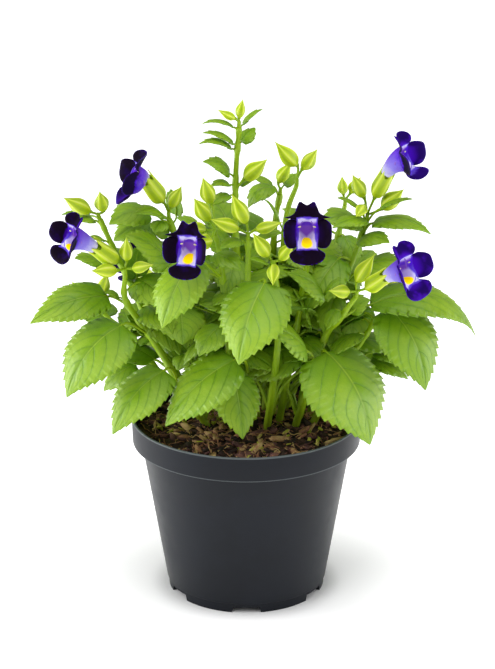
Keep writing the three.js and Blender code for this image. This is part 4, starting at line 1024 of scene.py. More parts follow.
def add_bloom(skin, bloom, foot, point):
    """Adds a corolla as one closed skin: throat, lobes' fronts, lobes' backs, and the tube's outside."""
    axis = unit(point - foot)
    deep = np.linspace(1, 0, 12)[:-1]
    out = np.linspace(0, 1, 13)
    down = np.linspace(1, 0, 18)
    throat, throat_flat = throat_rows(bloom, point, axis, deep)
    front, front_flat = lobe_rows(bloom, out, 0, 1)
    back, _ = lobe_rows(bloom, out[::-1], -PETAL_THICKNESS, PETAL_GROWTH)
    outside = tube_rows(bloom, point, axis, down)
    columns = throat.shape[1]
    bottom = np.broadcast_to(throat[:1].mean(axis=1, keepdims=True), (1, columns, 3))
    root = np.broadcast_to(point + JOINT_GAP * axis, (1, columns, 3))
    flat = np.concatenate([throat_flat[:1] * 0, throat_flat, front_flat]) / FRONT_VIEW + 0.5
    edge = np.concatenate([np.zeros(len(throat) + 1), out])[:, None] * np.ones(columns)
    skin.grid(np.concatenate([bottom, throat, front]), flat, edge, 0)
    rows = np.concatenate([front[-1:], back, outside, root])
    share = np.concatenate([[1.0], 1 + out[::-1], down, [0]])[:, None] * np.ones(columns)
    around = np.broadcast_to(mouth_angles() / (2 * math.pi), share.shape)
    skin.grid(rows, np.stack([share / 2, around], axis=-1), np.clip(share - 1, 0, 1), 1)


# A filament's and an anther's two ends: across, up and forward in the bloom, and their radii.
FILAMENT = ((4.3, 2.4), (-1.0, 6.4), (-5.5, -1.6))
FILAMENT_RADII = (0.45, 0.3)
ANTHER = ((3.1, 4.8), (3.5, 3.2), (-0.9, -0.9))
ANTHER_RADIUS = 0.42


def add_stamens(skin, bloom):
    """Adds the stamens: two filaments up the throat's sides, each with an anther across its middle."""
    share = np.linspace(0, 1, 10)
    bulge = np.sqrt(np.maximum(0.15, 1 - (2 * share - 1) ** 2))
    for side in (-1, 1):
        across, up, depth = (lerp(*ends, place) for ends, place in zip(FILAMENT, (share**2, share, share)))
        path = bloom.place(side * across, up, depth)
        tube(skin, path, lerp(*FILAMENT_RADII, share), 6, tone=0.0, paint=2)
        across, up, depth = (lerp(*ends, share) for ends in ANTHER)
        tube(skin, bloom.place(side * across, up, depth), ANTHER_RADIUS * bulge, tone=1.0, paint=2)


def rounded(corners, radii, steps=5):
    """An outline with each corner rounded by an arc-like curve of a given reach."""
    corners = [np.array(c, float) for c in corners]
    points = []
    for k, corner in enumerate(corners):
        reach = radii[k]
        if reach == 0 or k in (0, len(corners) - 1):
            points.append(corner)
            continue
        before = corner + unit(corners[k - 1] - corner) * reach
        after = corner + unit(corners[k + 1] - corner) * reach
        s = np.linspace(0, 1, steps)[:, None]
        points.extend((1 - s) ** 2 * before + 2 * s * (1 - s) * corner + s**2 * after)
    return np.array(points)


def pot_profile():
    """The pot's section from the middle of its underside, out, up, over the lip and back down inside."""
    floor_top = FOOT_HEIGHT + FLOOR
    skirt_foot = POT_HEIGHT - SKIRT_HEIGHT
    corners = [
        (0, FOOT_HEIGHT), (FOOT_RADIUS - FOOT_RING, FOOT_HEIGHT), (FOOT_RADIUS - FOOT_RING, 0),
        (FOOT_RADIUS, 0), (FOOT_RADIUS, FOOT_HEIGHT - 0.2), (FOOT_RADIUS + BODY_STEP, FOOT_HEIGHT + 0.3),
        (SHOULDER_RADIUS, skirt_foot), (SKIRT_RADIUS, skirt_foot), (RIM_RADIUS, POT_HEIGHT),
        (RIM_RADIUS - LIP_WIDTH, POT_HEIGHT), (RIM_RADIUS - LIP_WIDTH, POT_HEIGHT - LIP_DROP),
        (SKIRT_RADIUS - WALL, skirt_foot + WALL), (SHOULDER_RADIUS - WALL, skirt_foot + WALL),
        (FOOT_RADIUS - 0.6, floor_top), (0, floor_top),
    ]
    radii = [0, 0.6, 0.4, 0.5, 0.15, 0.25, 0.8, 0.45, 0.8, 0.75, 0.3, 1, 1, 1, 0]
    return rounded(corners, radii)


def cutter_mesh():
    """One mesh of six wedges for the notches in the foot and six rods for the drain holes."""
    work = bmesh.new()
    wedge = [(-NOTCH_FOOT / 2, -1), (NOTCH_FOOT / 2, -1), (NOTCH_TOP / 2, NOTCH_HEIGHT),
             (-NOTCH_TOP / 2, NOTCH_HEIGHT)]
    inner = FOOT_RADIUS - FOOT_RING - NOTCH_MARGIN
    for k in range(NOTCHES):
        turn = 2 * math.pi * k / NOTCHES
        back = [work.verts.new((x, -inner, z)) for x, z in wedge]
        front = [work.verts.new((x, -inner - NOTCH_LENGTH, z)) for x, z in wedge]
        added = back + front
        work.faces.new(back)
        work.faces.new(front[::-1])
        for j in range(4):
            work.faces.new((back[j], front[j], front[(j + 1) % 4], back[(j + 1) % 4]))
        rod = bmesh.ops.create_cone(work, cap_ends=True, segments=28, radius1=DRAIN_RADIUS,
                                    radius2=DRAIN_RADIUS, depth=4 * FLOOR)["verts"]
        bmesh.ops.translate(work, verts=rod, vec=(0, -DRAIN_CIRCLE, FOOT_HEIGHT + FLOOR / 2))
        cos, sin = math.cos(turn), math.sin(turn)
        for vertex in added + rod:
            x, y, z = vertex.co
            vertex.co = (x * cos - y * sin, x * sin + y * cos, z)
    for vertex in work.verts:
        vertex.co = Vector(POT_AXIS) + vertex.co * MM
    bmesh.ops.recalc_face_normals(work, faces=work.faces)
    mesh = bpy.data.meshes.new("pot_cutter")
    work.to_mesh(mesh)
    work.free()
    return mesh


def cut(piece, cutter):
    """Takes the cutter's solids out of a piece for good, and removes the cutter."""
    bpy.context.scene.collection.objects.link(cutter)
    modifier = piece.modifiers.new("cut", "BOOLEAN")
    modifier.operation = "DIFFERENCE"
    modifier.solver = "EXACT"
    modifier.object = cutter
    graph = bpy.context.evaluated_depsgraph_get()
    result = bpy.data.meshes.new_from_object(piece.evaluated_get(graph))
    piece.modifiers.clear()
    piece.data = result
    bpy.data.objects.remove(cutter)


def value_noise(x, y, cell, seed):
    """Smooth random heights from 0 to 1: a seeded value at each corner of square cells, blended."""
    table = np.random.default_rng(seed).random((64, 64))
    gx = x / cell + 31.5
    gy = y / cell + 31.5
    ix = np.floor(gx).astype(int)
    iy = np.floor(gy).astype(int)
    fx = smooth(gx - ix)
    fy = smooth(gy - iy)
    low = lerp(table[ix % 64, iy % 64], table[(ix + 1) % 64, iy % 64], fx)
    high = lerp(table[ix % 64, (iy + 1) % 64], table[(ix + 1) % 64, (iy + 1) % 64], fx)
    return lerp(low, high, fy)


def soil_height(x, y):
    """The height of the potting mix: the part's own low crown and crossed waves, with finer crumbs."""
    edge = (x**2 + y**2) / RIM_RADIUS**2
    waves = np.sin(0.42 * x + 1.7 * np.sin(0.19 * y)) * np.cos(0.37 * y + 1.3 * np.sin(0.23 * x))
    grit = 0.6 * np.sin(0.83 * x + 0.61 * y) * np.cos(0.71 * y - 0.52 * x)
    crumbs = 0.8 * value_noise(x, y, 2.1, 3) + 0.5 * value_noise(x, y, 1.0, 4) - 0.9
    return SOIL_TOP + SOIL_CROWN * (1 - edge) + 1.1 * waves + grit + crumbs


def add_soil(skin):
    """Adds the plug of potting mix: a floor, a side and a crumbly top, as one closed skin."""
    floor_top = FOOT_HEIGHT + FLOOR + SOIL_GAP
    shoulder = POT_HEIGHT - SKIRT_HEIGHT + WALL + SOIL_GAP
    edge = SKIRT_RADIUS - WALL - 0.35
    low = circles([0, FOOT_RADIUS - 1.2, SHOULDER_RADIUS - WALL - 0.5, edge],
                  [floor_top, floor_top, shoulder, shoulder], SOIL_SIDES)
    top = circles(edge * np.linspace(1, 0, SOIL_RINGS), np.zeros(SOIL_RINGS), SOIL_SIDES)
    top[..., 2] = soil_height(top[..., 0], top[..., 1])
    skin.grid(np.concatenate([low, top]), tone=0.25)


def spread_over_soil(random, count, reach):
    """Random places over the mix, evenly spread up to a radius."""
    radius = reach * np.sqrt(random.random(count))
    angle = 2 * math.pi * random.random(count)
    return radius * np.cos(angle), radius * np.sin(angle)


CHIP_SIDES = 7
CHIP_OUTLINES = (0.68, 1.1)
CHIP_TILT = 0.42
# A chip's rings: their size against its outline, and their level against its thickness.
CHIP_RINGS = ((0, -0.5), (0.92, -0.45), (1.0, 0.3), (0, 0.55))
# The kinds of chips: how many against the setting, their lengths, widths, thicknesses and tones, how far
# from the pot's axis they lie and how high above the mix.
CHIP_KINDS = [
    (1, (5, 16), (2.4, 6.5), (0.8, 2.2), (0.02, 0.8), 58.5, 0.2),
    (1, (1.2, 3.8), (0.8, 2.2), (0.4, 1), (0.2, 0.85), 58.5, 0.2),
    (1 / 6, (3.5, 8.5), (2.2, 4.4), (0.5, 1.2), (0.93, 1.0), 55, 1.1),
]


def add_chips(skin, random, count, length, width, thickness, tones, reach, lift):
    """Adds flat chips of bark: seven-sided slabs with uneven outlines, lying every way on the mix.

    Each has a lower and an upper ring and a point in the middle of each face.
    """
    shape = (count, CHIP_SIDES)
    x, y = spread_over_soil(random, count, reach)
    long = lerp(*length, random.random(count) ** 1.8)
    wide = lerp(*width, random.random(count) ** 1.3)
    thick = lerp(*thickness, random.random(count))
    angle = full_turn(CHIP_SIDES) + 0.5 * random.random(shape)
    outline = 0.5 * lerp(*CHIP_OUTLINES, random.random(shape))
    flat = np.stack([long[:, None] * outline * np.cos(angle),
                     wide[:, None] * outline * np.sin(angle)], axis=-1)
    rows = []
    for size, level in CHIP_RINGS:
        jitter = 0.25 * (random.random(shape) - 0.5) * (size > 0)
        rows.append(np.concatenate([flat * size, (thick[:, None] * (level + jitter))[..., None]], axis=-1))
    local = np.stack(rows, axis=1)
    yaw = 2 * math.pi * random.random(count)
    tilt = random.normal(0, CHIP_TILT, (2, count))
    ex = unit(np.stack([np.cos(yaw), np.sin(yaw), tilt[0]], axis=-1))
    ey = unit(np.stack([-np.sin(yaw), np.cos(yaw), tilt[1]], axis=-1))
    frames = np.stack([ex, ey, unit(np.cross(ex, ey))], axis=1)
    centre = np.stack([x, y, soil_height(x, y) + lift + 0.3 * thick], axis=-1)
    points = centre[:, None, None] + np.einsum("nrcj,njk->nrck", local, frames)
    tone = lerp(*tones, random.random(count))
    for k in range(count):
        skin.grid(points[k], tone=tone[k])


FIBRE_LENGTHS = (6, 20)
FIBRE_RADII = (0.15, 0.4)
FIBRE_TONES = (0.5, 0.85)
FIBRE_BEND = 1.1
FIBRE_REACH = 56  # how far from the pot's axis a fibre's start may lie
FIBRE_LIMIT = 60  # and where it is cut off


def add_fibres(skin, random, count):
    """Adds thin bent fibres that lie on the mix: an arc in plan, laid over the mix's own height."""
    x, y = spread_over_soil(random, count, FIBRE_REACH)
    yaw = 2 * math.pi * random.random(count)
    bend = random.normal(0, FIBRE_BEND, count)
    long = lerp(*FIBRE_LENGTHS, random.random(count))
    share = np.linspace(-0.5, 0.5, 8)
    for k in range(count):
        heading = yaw[k] + bend[k] * share
        step = long[k] / (len(share) - 1)
        px = x[k] + np.cumsum(np.cos(heading)) * step
        py = y[k] + np.cumsum(np.sin(heading)) * step
        inside = np.hypot(px, py) < FIBRE_LIMIT
        if inside.sum() < 4:
            continue
        px, py = px[inside], py[inside]
        ends = 0.5 + 0.9 * random.random() + 0.8 * random.random() * np.linspace(-1, 1, len(px)) ** 2
        path = np.stack([px, py, soil_height(px, py) + ends], axis=-1)
        thick = np.full(len(px), lerp(*FIBRE_RADII, random.random()))
        tube(skin, path, thick, 4, tone=lerp(*FIBRE_TONES, random.random()))


class Wire:
    """An output of a node. A sum, a product and the like add a node and give its output."""

    def __init__(self, tree, output):
        self.tree = tree
        self.output = output

    def math(self, operation, *others, clamp=False):
        inputs = dict(enumerate((self, *others)))
        return self.tree.wire("Math", 0, inputs, operation=operation, use_clamp=clamp)

    def __add__(self, other):
        return self.math("ADD", other)

    def __sub__(self, other):
        return self.math("SUBTRACT", other)

    def __rsub__(self, other):
        return self.tree.wire("Math", 0, {0: other, 1: self}, operation="SUBTRACT")

    def __mul__(self, other):
        return self.math("MULTIPLY", other)

    def __abs__(self):
        return self.math("ABSOLUTE")

    def most(self, other):
        """The larger of two."""
        return self.math("MAXIMUM", other)

    def rise(self, low, high):
        """0 below low, 1 above high, and smooth between."""
        inputs = {"Value": self, "From Min": low, "From Max": high}
        return self.tree.wire("MapRange", "Result", inputs, interpolation_type="SMOOTHSTEP")

    def fall(self, low, high):
        """1 below low, 0 above high, and smooth between."""
        return 1 - self.rise(low, high)


class Tree:
    """A node tree, with short calls that add nodes and join them."""

    def __init__(self, tree):
        self.tree = tree

    def put(self, target, value):
        """Joins a wire to a socket, or sets a plain value on it."""
        if isinstance(value, Wire):
            self.tree.links.new(value.output, target)
        else:
            target.default_value = value

    def add(self, kind, inputs=(), **settings):
        """Adds a shader node. inputs maps a socket's name or number to a wire or a plain value."""
        node = self.tree.nodes.new("ShaderNode" + kind)
        for name, value in settings.items():
            setattr(node, name, value)
        for key, value in dict(inputs).items():
            self.put(node.inputs[key], value)
        return node

    def wire(self, kind, output, inputs=(), **settings):
        """Adds a shader node and gives one of its outputs."""
        return Wire(self, self.add(kind, inputs, **settings).outputs[output])

    def mix(self, share, a, b):
        """A blend of two colours."""
        first, second = (value if isinstance(value, Wire) else (*value, 1) for value in (a, b))
        return self.wire("Mix", 2, {0: share, 6: first, 7: second}, data_type="RGBA")

    def noise(self, vector, scale, detail=2.0, roughness=0.55):
        inputs = {"Vector": vector, "Scale": scale, "Detail": detail, "Roughness": roughness}
        return self.wire("TexNoise", "Fac", inputs)

    def colours(self, value, stops):
        """A colour ramp over some stops of place and colour."""
        node = self.add("ValToRGB", {0: value})
        ramp = node.color_ramp
        while len(ramp.elements) < len(stops):
            ramp.elements.new(0.5)
        for element, (place, colour) in zip(ramp.elements, stops):
            element.position = place
            element.color = (*colour, 1)
        return Wire(self, node.outputs["Color"])

    def bump(self, height, strength, distance):
        """A normal that leans as the height does. distance is in metres."""
        return self.wire("Bump", 0, {"Height": height, "Strength": strength, "Distance": distance})

    def group(self, group, **inputs):
        """Adds a group's node, and gives its outputs by name."""
        node = self.add("Group", node_tree=group)
        for name, value in inputs.items():
            self.put(node.inputs[name], value)
        return {output.name: Wire(self, output) for output in node.outputs}


def new_group(name, inputs):
    """An empty node group: its tree, and a wire for each of its inputs."""
    tree = Tree(bpy.data.node_groups.new(name, "ShaderNodeTree"))
    for key in inputs:
        kind = "NodeSocketVector" if key == "Vector" else "NodeSocketFloat"
        tree.tree.interface.new_socket(name=key, in_out="INPUT", socket_type=kind)
    node = tree.tree.nodes.new("NodeGroupInput")
    return tree, [Wire(tree, output) for output in node.outputs[:len(inputs)]]


def close_group(tree, **outputs):
    """Adds a group's outputs by name, with the wires that lead to them."""
    for name in outputs:
        tree.tree.interface.new_socket(name=name, in_out="OUTPUT", socket_type="NodeSocketFloat")
    node = tree.tree.nodes.new("NodeGroupOutput")
    for name, value in outputs.items():
        tree.put(node.inputs[name], value)
    return tree.tree


def mottle_group():
    """Broad and fine patches from 0 to 1, to vary a colour or a roughness over a surface."""
    tree, (place, scale, fine) = new_group("mottle", ["Vector", "Scale", "Fine"])
    broad = tree.noise(place, scale)
    small = tree.noise(place, scale * 7, 3)
    return close_group(tree, Value=(broad + (small - 0.5) * fine).rise(0.3, 0.7))


def vein_group(looks):
    """A leaf's veins from its own u and v: side veins, midrib and net, and the place between veins."""
    tree, (u, v, place) = new_group("leaf_veins", ["U", "V", "Vector"])
    side = abs(v)
    sway = tree.noise(place, 90, 1) * 0.05 - 0.025
    q = u + sway - side * VEIN_SLANT - side * side * VEIN_CURVE
    phase = q * looks.vein_pairs * (q * VEIN_CROWD + 1)
    between = abs((phase + 20.5).math("FRACT") - 0.5) * 2
    net = tree.wire("TexVoronoi", "Distance", {"Vector": place, "Scale": 520}, feature="DISTANCE_TO_EDGE")
    return close_group(tree, Lines=between.fall(0, 0.075) * side.fall(0.7, 1), Midrib=side.fall(0.005, 0.035),
                       Net=net.fall(0, 0.16), Between=between)


class Paint(Tree):
    """A material with a Principled shader, and what it can read from the piece that it is on."""

    def __init__(self, name):
        self.material = bpy.data.materials.new(name)
        self.material.use_nodes = True
        super().__init__(self.material.node_tree)
        self.tree.nodes.clear()
        self.shader = self.add("BsdfPrincipled")
        self.add("OutputMaterial", {0: Wire(self, self.shader.outputs[0])})

    def place(self):
        return self.wire("TexCoord", "Object")

    def own_place(self):
        """The piece's own u and v, from its UV map."""
        split = self.add("SeparateXYZ", {0: self.wire("UVMap", 0, uv_map="place")})
        return Wire(self, split.outputs[0]), Wire(self, split.outputs[1])

    def tone(self):
        return self.wire("Attribute", "Fac", attribute_name="tone")

    def patches(self, scale, fine):
        """Broad and fine patches from the group, which is made once."""
        group = bpy.data.node_groups.get("mottle") or mottle_group()
        return self.group(group, Vector=self.place(), Scale=scale, Fine=fine)["Value"]

    def grain(self, scale, detail=2.0, roughness=0.55):
        return self.noise(self.place(), scale, detail, roughness)

    def finish(self, **inputs):
        """Sets the shader's inputs by name, and gives the material."""
        for name, value in inputs.items():
            self.put(self.shader.inputs[name.replace("_", " ")], value)
        return self.material


def leaf_material(looks, veins, upper):
    """The skin of a blade: glossy above and pale and dull below, with painted sheen between the veins and
    painted shade in the sunken veins above.
    """
    paint = Paint("leaf_upper" if upper else "leaf_lower")
    u, v = paint.own_place()
    side = abs(v)
    vein = paint.group(veins, U=u, V=v, Vector=paint.place())
    patches = paint.patches(50, 0.5)
    body = paint.mix(paint.tone(), looks.old_colour, looks.young_colour)
    # Painted sheen: broad patches of the pale sheen colour.
    body = paint.mix(patches * 0.45, body, looks.painted_sheen_colour)
    # Painted sheen on the swellings between the side veins, faint on the lower face.
    body = paint.mix(vein["Between"].rise(0, 0.4) * (0.36 if upper else 0.1), body, looks.painted_sheen_colour)
    warm = u.fall(0, 0.5).most(side.fall(0, 0.45) * 0.5)
    body = paint.mix(warm * 0.7, body, looks.warm_colour)
    if upper:
        # Painted shade in the sunken net, side veins and the creased flanks of the midrib.
        body = paint.mix(vein["Net"] * 0.06, body, looks.vein_shade_colour)
        lines = vein["Lines"].most(side.fall(0.02, 0.1) * 0.6)
        body = paint.mix(lines * 0.56, body, looks.vein_shade_colour)
        body = paint.mix(vein["Midrib"] * u.fall(0.3, 0.9) * 0.45, body, looks.rib_colour)
        height = vein["Lines"] * -1 - vein["Net"] * 0.16
    else:
        body = paint.mix(0.35, body, looks.under_colour)
        body = paint.mix(vein["Lines"] * 0.5, body, looks.rib_colour)
        height = vein["Lines"] * 0.8 + vein["Net"] * 0.3
    height = height + paint.grain(2600) * 0.16
    return paint.finish(
        Base_Color=body, Roughness=patches * 0.14 + (0.34 if upper else 0.6),
        Normal=paint.bump(height, 0.5, 0.0004), Specular_IOR_Level=0.42,
        Subsurface_Weight=looks.glow, Subsurface_Scale=0.0006, Subsurface_Radius=(0.7, 1, 0.05))


def stem_material(looks):
    """The skin of stems, petioles and ribs: yellow-green and glossy, brown and dull near the mix."""
    paint = Paint("stem_green")
    body = paint.mix(paint.tone(), looks.stem_foot_colour, looks.stem_colour)
    body = paint.mix(paint.patches(110, 0.5) * 0.4, body, looks.stem_light_colour)
    return paint.finish(
        Base_Color=body, Roughness=0.42, Normal=paint.bump(paint.grain(1500), 0.25, 0.0003),
        Specular_IOR_Level=0.3, Subsurface_Weight=0.15, Subsurface_Scale=0.001,
        Subsurface_Radius=(0.7, 1, 0.05))


def bud_material(looks):
    """The skin of buds and calyces: pale along the keels, partly with painted highlight, and darker green in
    the valleys between them as painted shade.
    """
    paint = Paint("bud_skin")
    s, ridge = paint.own_place()
    body = paint.mix(paint.tone(), looks.bud_colour, looks.bud_light_colour)
    # Painted shade in the valleys between the keels.
    body = paint.mix(ridge.fall(-0.9, 0.5) * 0.6, body, looks.valley_shade_colour)
    # The keels' own pale yellow, with painted highlight.
    body = paint.mix(ridge.rise(0.6, 0.98) * 0.65, body, looks.pale_keel_highlight_colour)
    body = paint.mix(s.fall(0, 0.4) * 0.5, body, looks.bud_colour)
    # Patches of painted highlight.
    body = paint.mix(paint.patches(140, 0.5) * 0.12, body, looks.pale_keel_highlight_colour)
    return paint.finish(
        Base_Color=body, Roughness=0.4, Normal=paint.bump(paint.grain(900), 0.25, 0.0003),
        Specular_IOR_Level=0.3, Subsurface_Weight=0.2, Subsurface_Scale=0.001,
        Subsurface_Radius=(0.8, 1, 0.05))


def stem_green(context):
    """The stems' material, made once."""
    return bpy.data.materials.get("stem_green") or stem_material(context.scene.wishbone_leaf)


def bud_skin(context):
    """The buds' material, made once."""
    return bpy.data.materials.get("bud_skin") or bud_material(context.scene.wishbone_bud)


def petal_front_material(looks, name, velvet_colour, edge_colour, rim):
    """The face of a bloom, painted by its own front view: dark velvet lobes with bright edges, a pale
    throat that is lilac above, and a round yellow spot on the lower lip, with painted sheen where the lobes
    turn away, painted shade in the deep throat and a painted glow on the throat and the spot."""
    paint = Paint(name)
    u, v = paint.own_place()
    x = (u - 0.5) * FRONT_VIEW
    y = (v - 0.5) * FRONT_VIEW
    sway = paint.grain(260) * 1.4 - 0.7
    outside = (abs(x) + sway * 0.6).rise(4.7, 5.9)
    below = (sway - y).rise(7.9, 9.2)
    above = (y + sway * 0.5).rise(7.6, 8.8)
    dark = outside.most(below).most(above)
    halo = (dark * (1 - dark)).math("MULTIPLY", 4, clamp=True)
    tongue = (abs(x) - (y * 1.1 + 5)).fall(-1.8, 1.4) * y.fall(5.2, 6.8)
    throat = paint.mix(tongue, looks.throat_low_colour, looks.throat_high_colour)
    # Painted shade: the deep upper part of the throat is darkened toward the halo's violet.
    deep_throat_shade = y.rise(2.2, 3.4) - y.rise(4.4, 5.6)
    throat = paint.mix(deep_throat_shade * 0.5, throat, looks.halo_colour)
    tone = paint.tone()
    # Painted sheen: the lobes take the edge colour where they turn away from the view, as velvet does at a
    # glancing angle.
    painted_grazing_sheen = paint.wire("LayerWeight", "Facing", {"Blend": 0.4})
    bright = (tone.rise(0.9, 1) * 0.75).most(painted_grazing_sheen.rise(0.3, 1))
    # rim is how far the lit border reaches in from the throat and how strong the bright patches are; the
    # bright copy's large rim is painted light.
    bright = bright.most(tone.fall(0.03, rim) * 0.8)
    bright = bright.most(paint.grain(150).rise(0.5, 0.75) * rim)
    body = paint.mix(dark, throat, paint.mix(bright, velvet_colour, edge_colour))
    body = paint.mix(halo * 0.85, body, looks.halo_colour)
    spot_x = x * 0.8
    spot_y = y * 1.5 + 9.6
    spot = (spot_x * spot_x + spot_y * spot_y).math("SQRT").fall(2.4, 3)
    body = paint.mix(spot, body, looks.spot_colour)
    # Painted glow: the pale throat glows faintly and the yellow spot more, though the throat lies in shade.
    painted_glow = paint.mix(dark * 0.3 + 0.7, body, (0, 0, 0))
    painted_glow = paint.mix(spot, painted_glow, looks.spot_colour)
    return paint.finish(
        Base_Color=body, Roughness=0.7, Normal=paint.bump(paint.grain(3200), 0.3, 0.0002),
        Specular_IOR_Level=0.06, Emission_Color=painted_glow, Emission_Strength=0.45)


def petal_back_material(looks):
    """The outside of a bloom: lilac-white at the calyx, violet-blue along the tube, dark on the lobes."""
    paint = Paint("petal_back")
    along, around = paint.own_place()
    share = along + (paint.patches(160, 0.6) * 0.06 - 0.03)
    body = paint.colours(share, [
        (0, looks.tube_foot_colour), (0.2, looks.tube_low_colour), (0.47, looks.tube_high_colour),
        (0.52, looks.halo_colour), (0.56, looks.lobe_back_colour), (0.9, looks.lobe_back_colour),
        (1, looks.edge_colour),
    ])
    upper = abs(around - 0.25).fall(0.05, 0.28) * share.rise(0.02, 0.3) * share.fall(0.5, 0.6)
    body = paint.mix(upper * 0.8, body, looks.tube_back_colour)
    return paint.finish(
        Base_Color=body, Roughness=0.5, Normal=paint.bump(paint.grain(700), 0.25, 0.0003),
        Specular_IOR_Level=0.08, Subsurface_Weight=0.1, Subsurface_Scale=0.0006)


def stamen_material(looks):
    """The stamens: lilac filaments and pale yellow ends."""
    paint = Paint("stamen")
    body = paint.mix(paint.tone(), looks.throat_high_colour, looks.anther_colour)
    return paint.finish(Base_Color=body, Roughness=0.5)


def pot_material(looks):
    """Moulded plastic: dark blue-grey, satin, with a faint grain and dull patches, and a painted highlight
    along the lip and the skirt's lower edge.
    """
    paint = Paint("pot_plastic")
    patches = paint.patches(26, 0.35)
    body = paint.mix(patches * 0.5, looks.plastic_colour, looks.plastic_light_colour)
    level = paint.wire("SeparateXYZ", "Z", {0: paint.place()})
    # Painted highlight: a light line along the top of the lip and a fainter one at the skirt's lower edge.
    lip = level.rise((POT_HEIGHT - 1.1) * MM, (POT_HEIGHT - 0.4) * MM)
    skirt = abs(level - (POT_HEIGHT - SKIRT_HEIGHT + 0.35) * MM).fall(0.1 * MM, 0.45 * MM)
    body = paint.mix(lip.most(skirt * 0.6) * 0.8, body, looks.rim_highlight_colour)
    height = paint.grain(2200, 3) * 0.25 + paint.grain(45, 1) * 1.2
    return paint.finish(
        Base_Color=body, Roughness=patches * 0.1 + looks.plastic_roughness,
        Normal=paint.bump(height, 0.2, 0.0004), Specular_IOR_Level=0.17)


def soil_material(looks):
    """Potting mix and bark: the tone of each chip picks its colour, and grain breaks it up."""
    paint = Paint("potting_mix")
    tone = paint.tone() + (paint.patches(300, 0.8) * 0.16 - 0.08)
    body = paint.colours(tone, [
        (0, looks.black_colour), (0.25, looks.brown_colour), (0.45, looks.plum_colour),
        (0.65, looks.bark_colour), (0.8, looks.straw_colour), (0.88, looks.straw_colour),
        (0.94, looks.moss_colour),
    ])
    return paint.finish(
        Base_Color=body, Roughness=0.85, Normal=paint.bump(paint.grain(1100, 4, 0.7), 0.6, 0.0006),
        Specular_IOR_Level=0.3)


def floor_material(looks):
    """A pale seamless floor that glows faintly, to read as an evenly lit backdrop; the glow is weaker near
    the pot and none under it, which paints shade round the pot's foot.
    """
    paint = Paint("floor")
    place = paint.place()
    body = paint.mix(paint.noise(place, 12) * 0.02, looks.floor_colour, (0.8, 0.8, 0.8))
    distance = paint.wire("VectorMath", "Value", {0: place, 1: tuple(POT_AXIS)}, operation="DISTANCE")
    painted_glow = paint.colours(distance, [(radius, (grey, grey, grey)) for radius, grey in FLOOR_SHINE])
    return paint.finish(Base_Color=body, Roughness=0.6, Specular_IOR_Level=0.2, Emission_Color=painted_glow,
                        Emission_Strength=1)


def colour(name, description, value):
    """A colour that a user may change."""
    return FloatVectorProperty(name=name, description=description, subtype="COLOR", size=3, min=0, max=1,
                               default=value)


def power(name, description, value):
    """A lamp's power that a user may change."""
    return FloatProperty(name=name, description=description, default=value, min=0, max=500, unit="POWER")


def number(name, description, value, low, high):
    """A number that a user may change."""
    return FloatProperty(name=name, description=description, default=value, min=low, max=high)


def amount(name, description, value, low, high):
    """A whole number that a user may change."""
    return IntProperty(name=name, description=description, default=value, min=low, max=high)


class LeafLooks(bpy.types.PropertyGroup):
    """Sizes and colours of the leaves and stems."""

    tooth_depth: number("Tooth depth", "Depth of the teeth against the half width", 0.075, 0, 0.4)
    vein_pairs: number("Vein pairs", "How closely the side veins stand", 4.7, 2, 12)
    quilting: number("Quilting", "Bulge between the side veins of a 50 mm leaf, in mm", 0.4, 0, 3)
    blade_thickness: number("Blade thickness", "Thickness of a blade, in mm", 0.5, 0.2, 1)
    glow: number("Glow", "How much light passes through a blade", 0.12, 0, 1)
    old_colour: colour("Old leaf", "Colour of the lower, older leaves", (0.108, 0.25, 0.001))
    young_colour: colour("Young leaf", "Colour of the upper, younger leaves", (0.185, 0.37, 0.001))
    # Painted sheen: the pale grey-green that stands for the glossy reflection between the veins.
    painted_sheen_colour: colour("Pale green", "Colour between the veins", (0.33, 0.49, 0.02))
    warm_colour: colour("Warm green", "Colour near the blade's foot and midrib", (0.11, 0.26, 0.001))
    # Painted shade in the sunken veins and the midrib's crease.
    vein_shade_colour: colour("Vein", "Colour of the sunken veins", (0.075, 0.19, 0.003))
    rib_colour: colour("Midrib", "Colour of the midrib", (0.45, 0.6, 0.07))
    under_colour: colour("Underside", "Colour of the blade's lower face", (0.18, 0.34, 0.02))
    stem_colour: colour("Stem", "Colour of stems and petioles", (0.225, 0.385, 0.002))
    stem_light_colour: colour("Light stem", "Lighter patches on the stems", (0.37, 0.52, 0.015))
    stem_foot_colour: colour("Stem foot", "Colour of the stems near the mix", (0.2, 0.27, 0.008))


class BudLooks(bpy.types.PropertyGroup):
    """Sizes and colours of the buds and calyces."""

    keel_height: number("Keel height", "Height of the keels against a bud's radius", 0.08, 0, 0.5)
    bud_colour: colour("Bud", "Main colour of the buds", (0.46, 0.6, 0.004))
    bud_light_colour: colour("Light bud", "Colour of young buds", (0.54, 0.68, 0.006))
    # The keels' pale yellow, partly painted highlight.
    pale_keel_highlight_colour: colour("Bud stripe", "Colour of the pale keels", (0.76, 0.85, 0.16))
    # Painted shade between the keels.
    valley_shade_colour: colour("Bud valley", "Colour between the keels", (0.18, 0.34, 0.0))


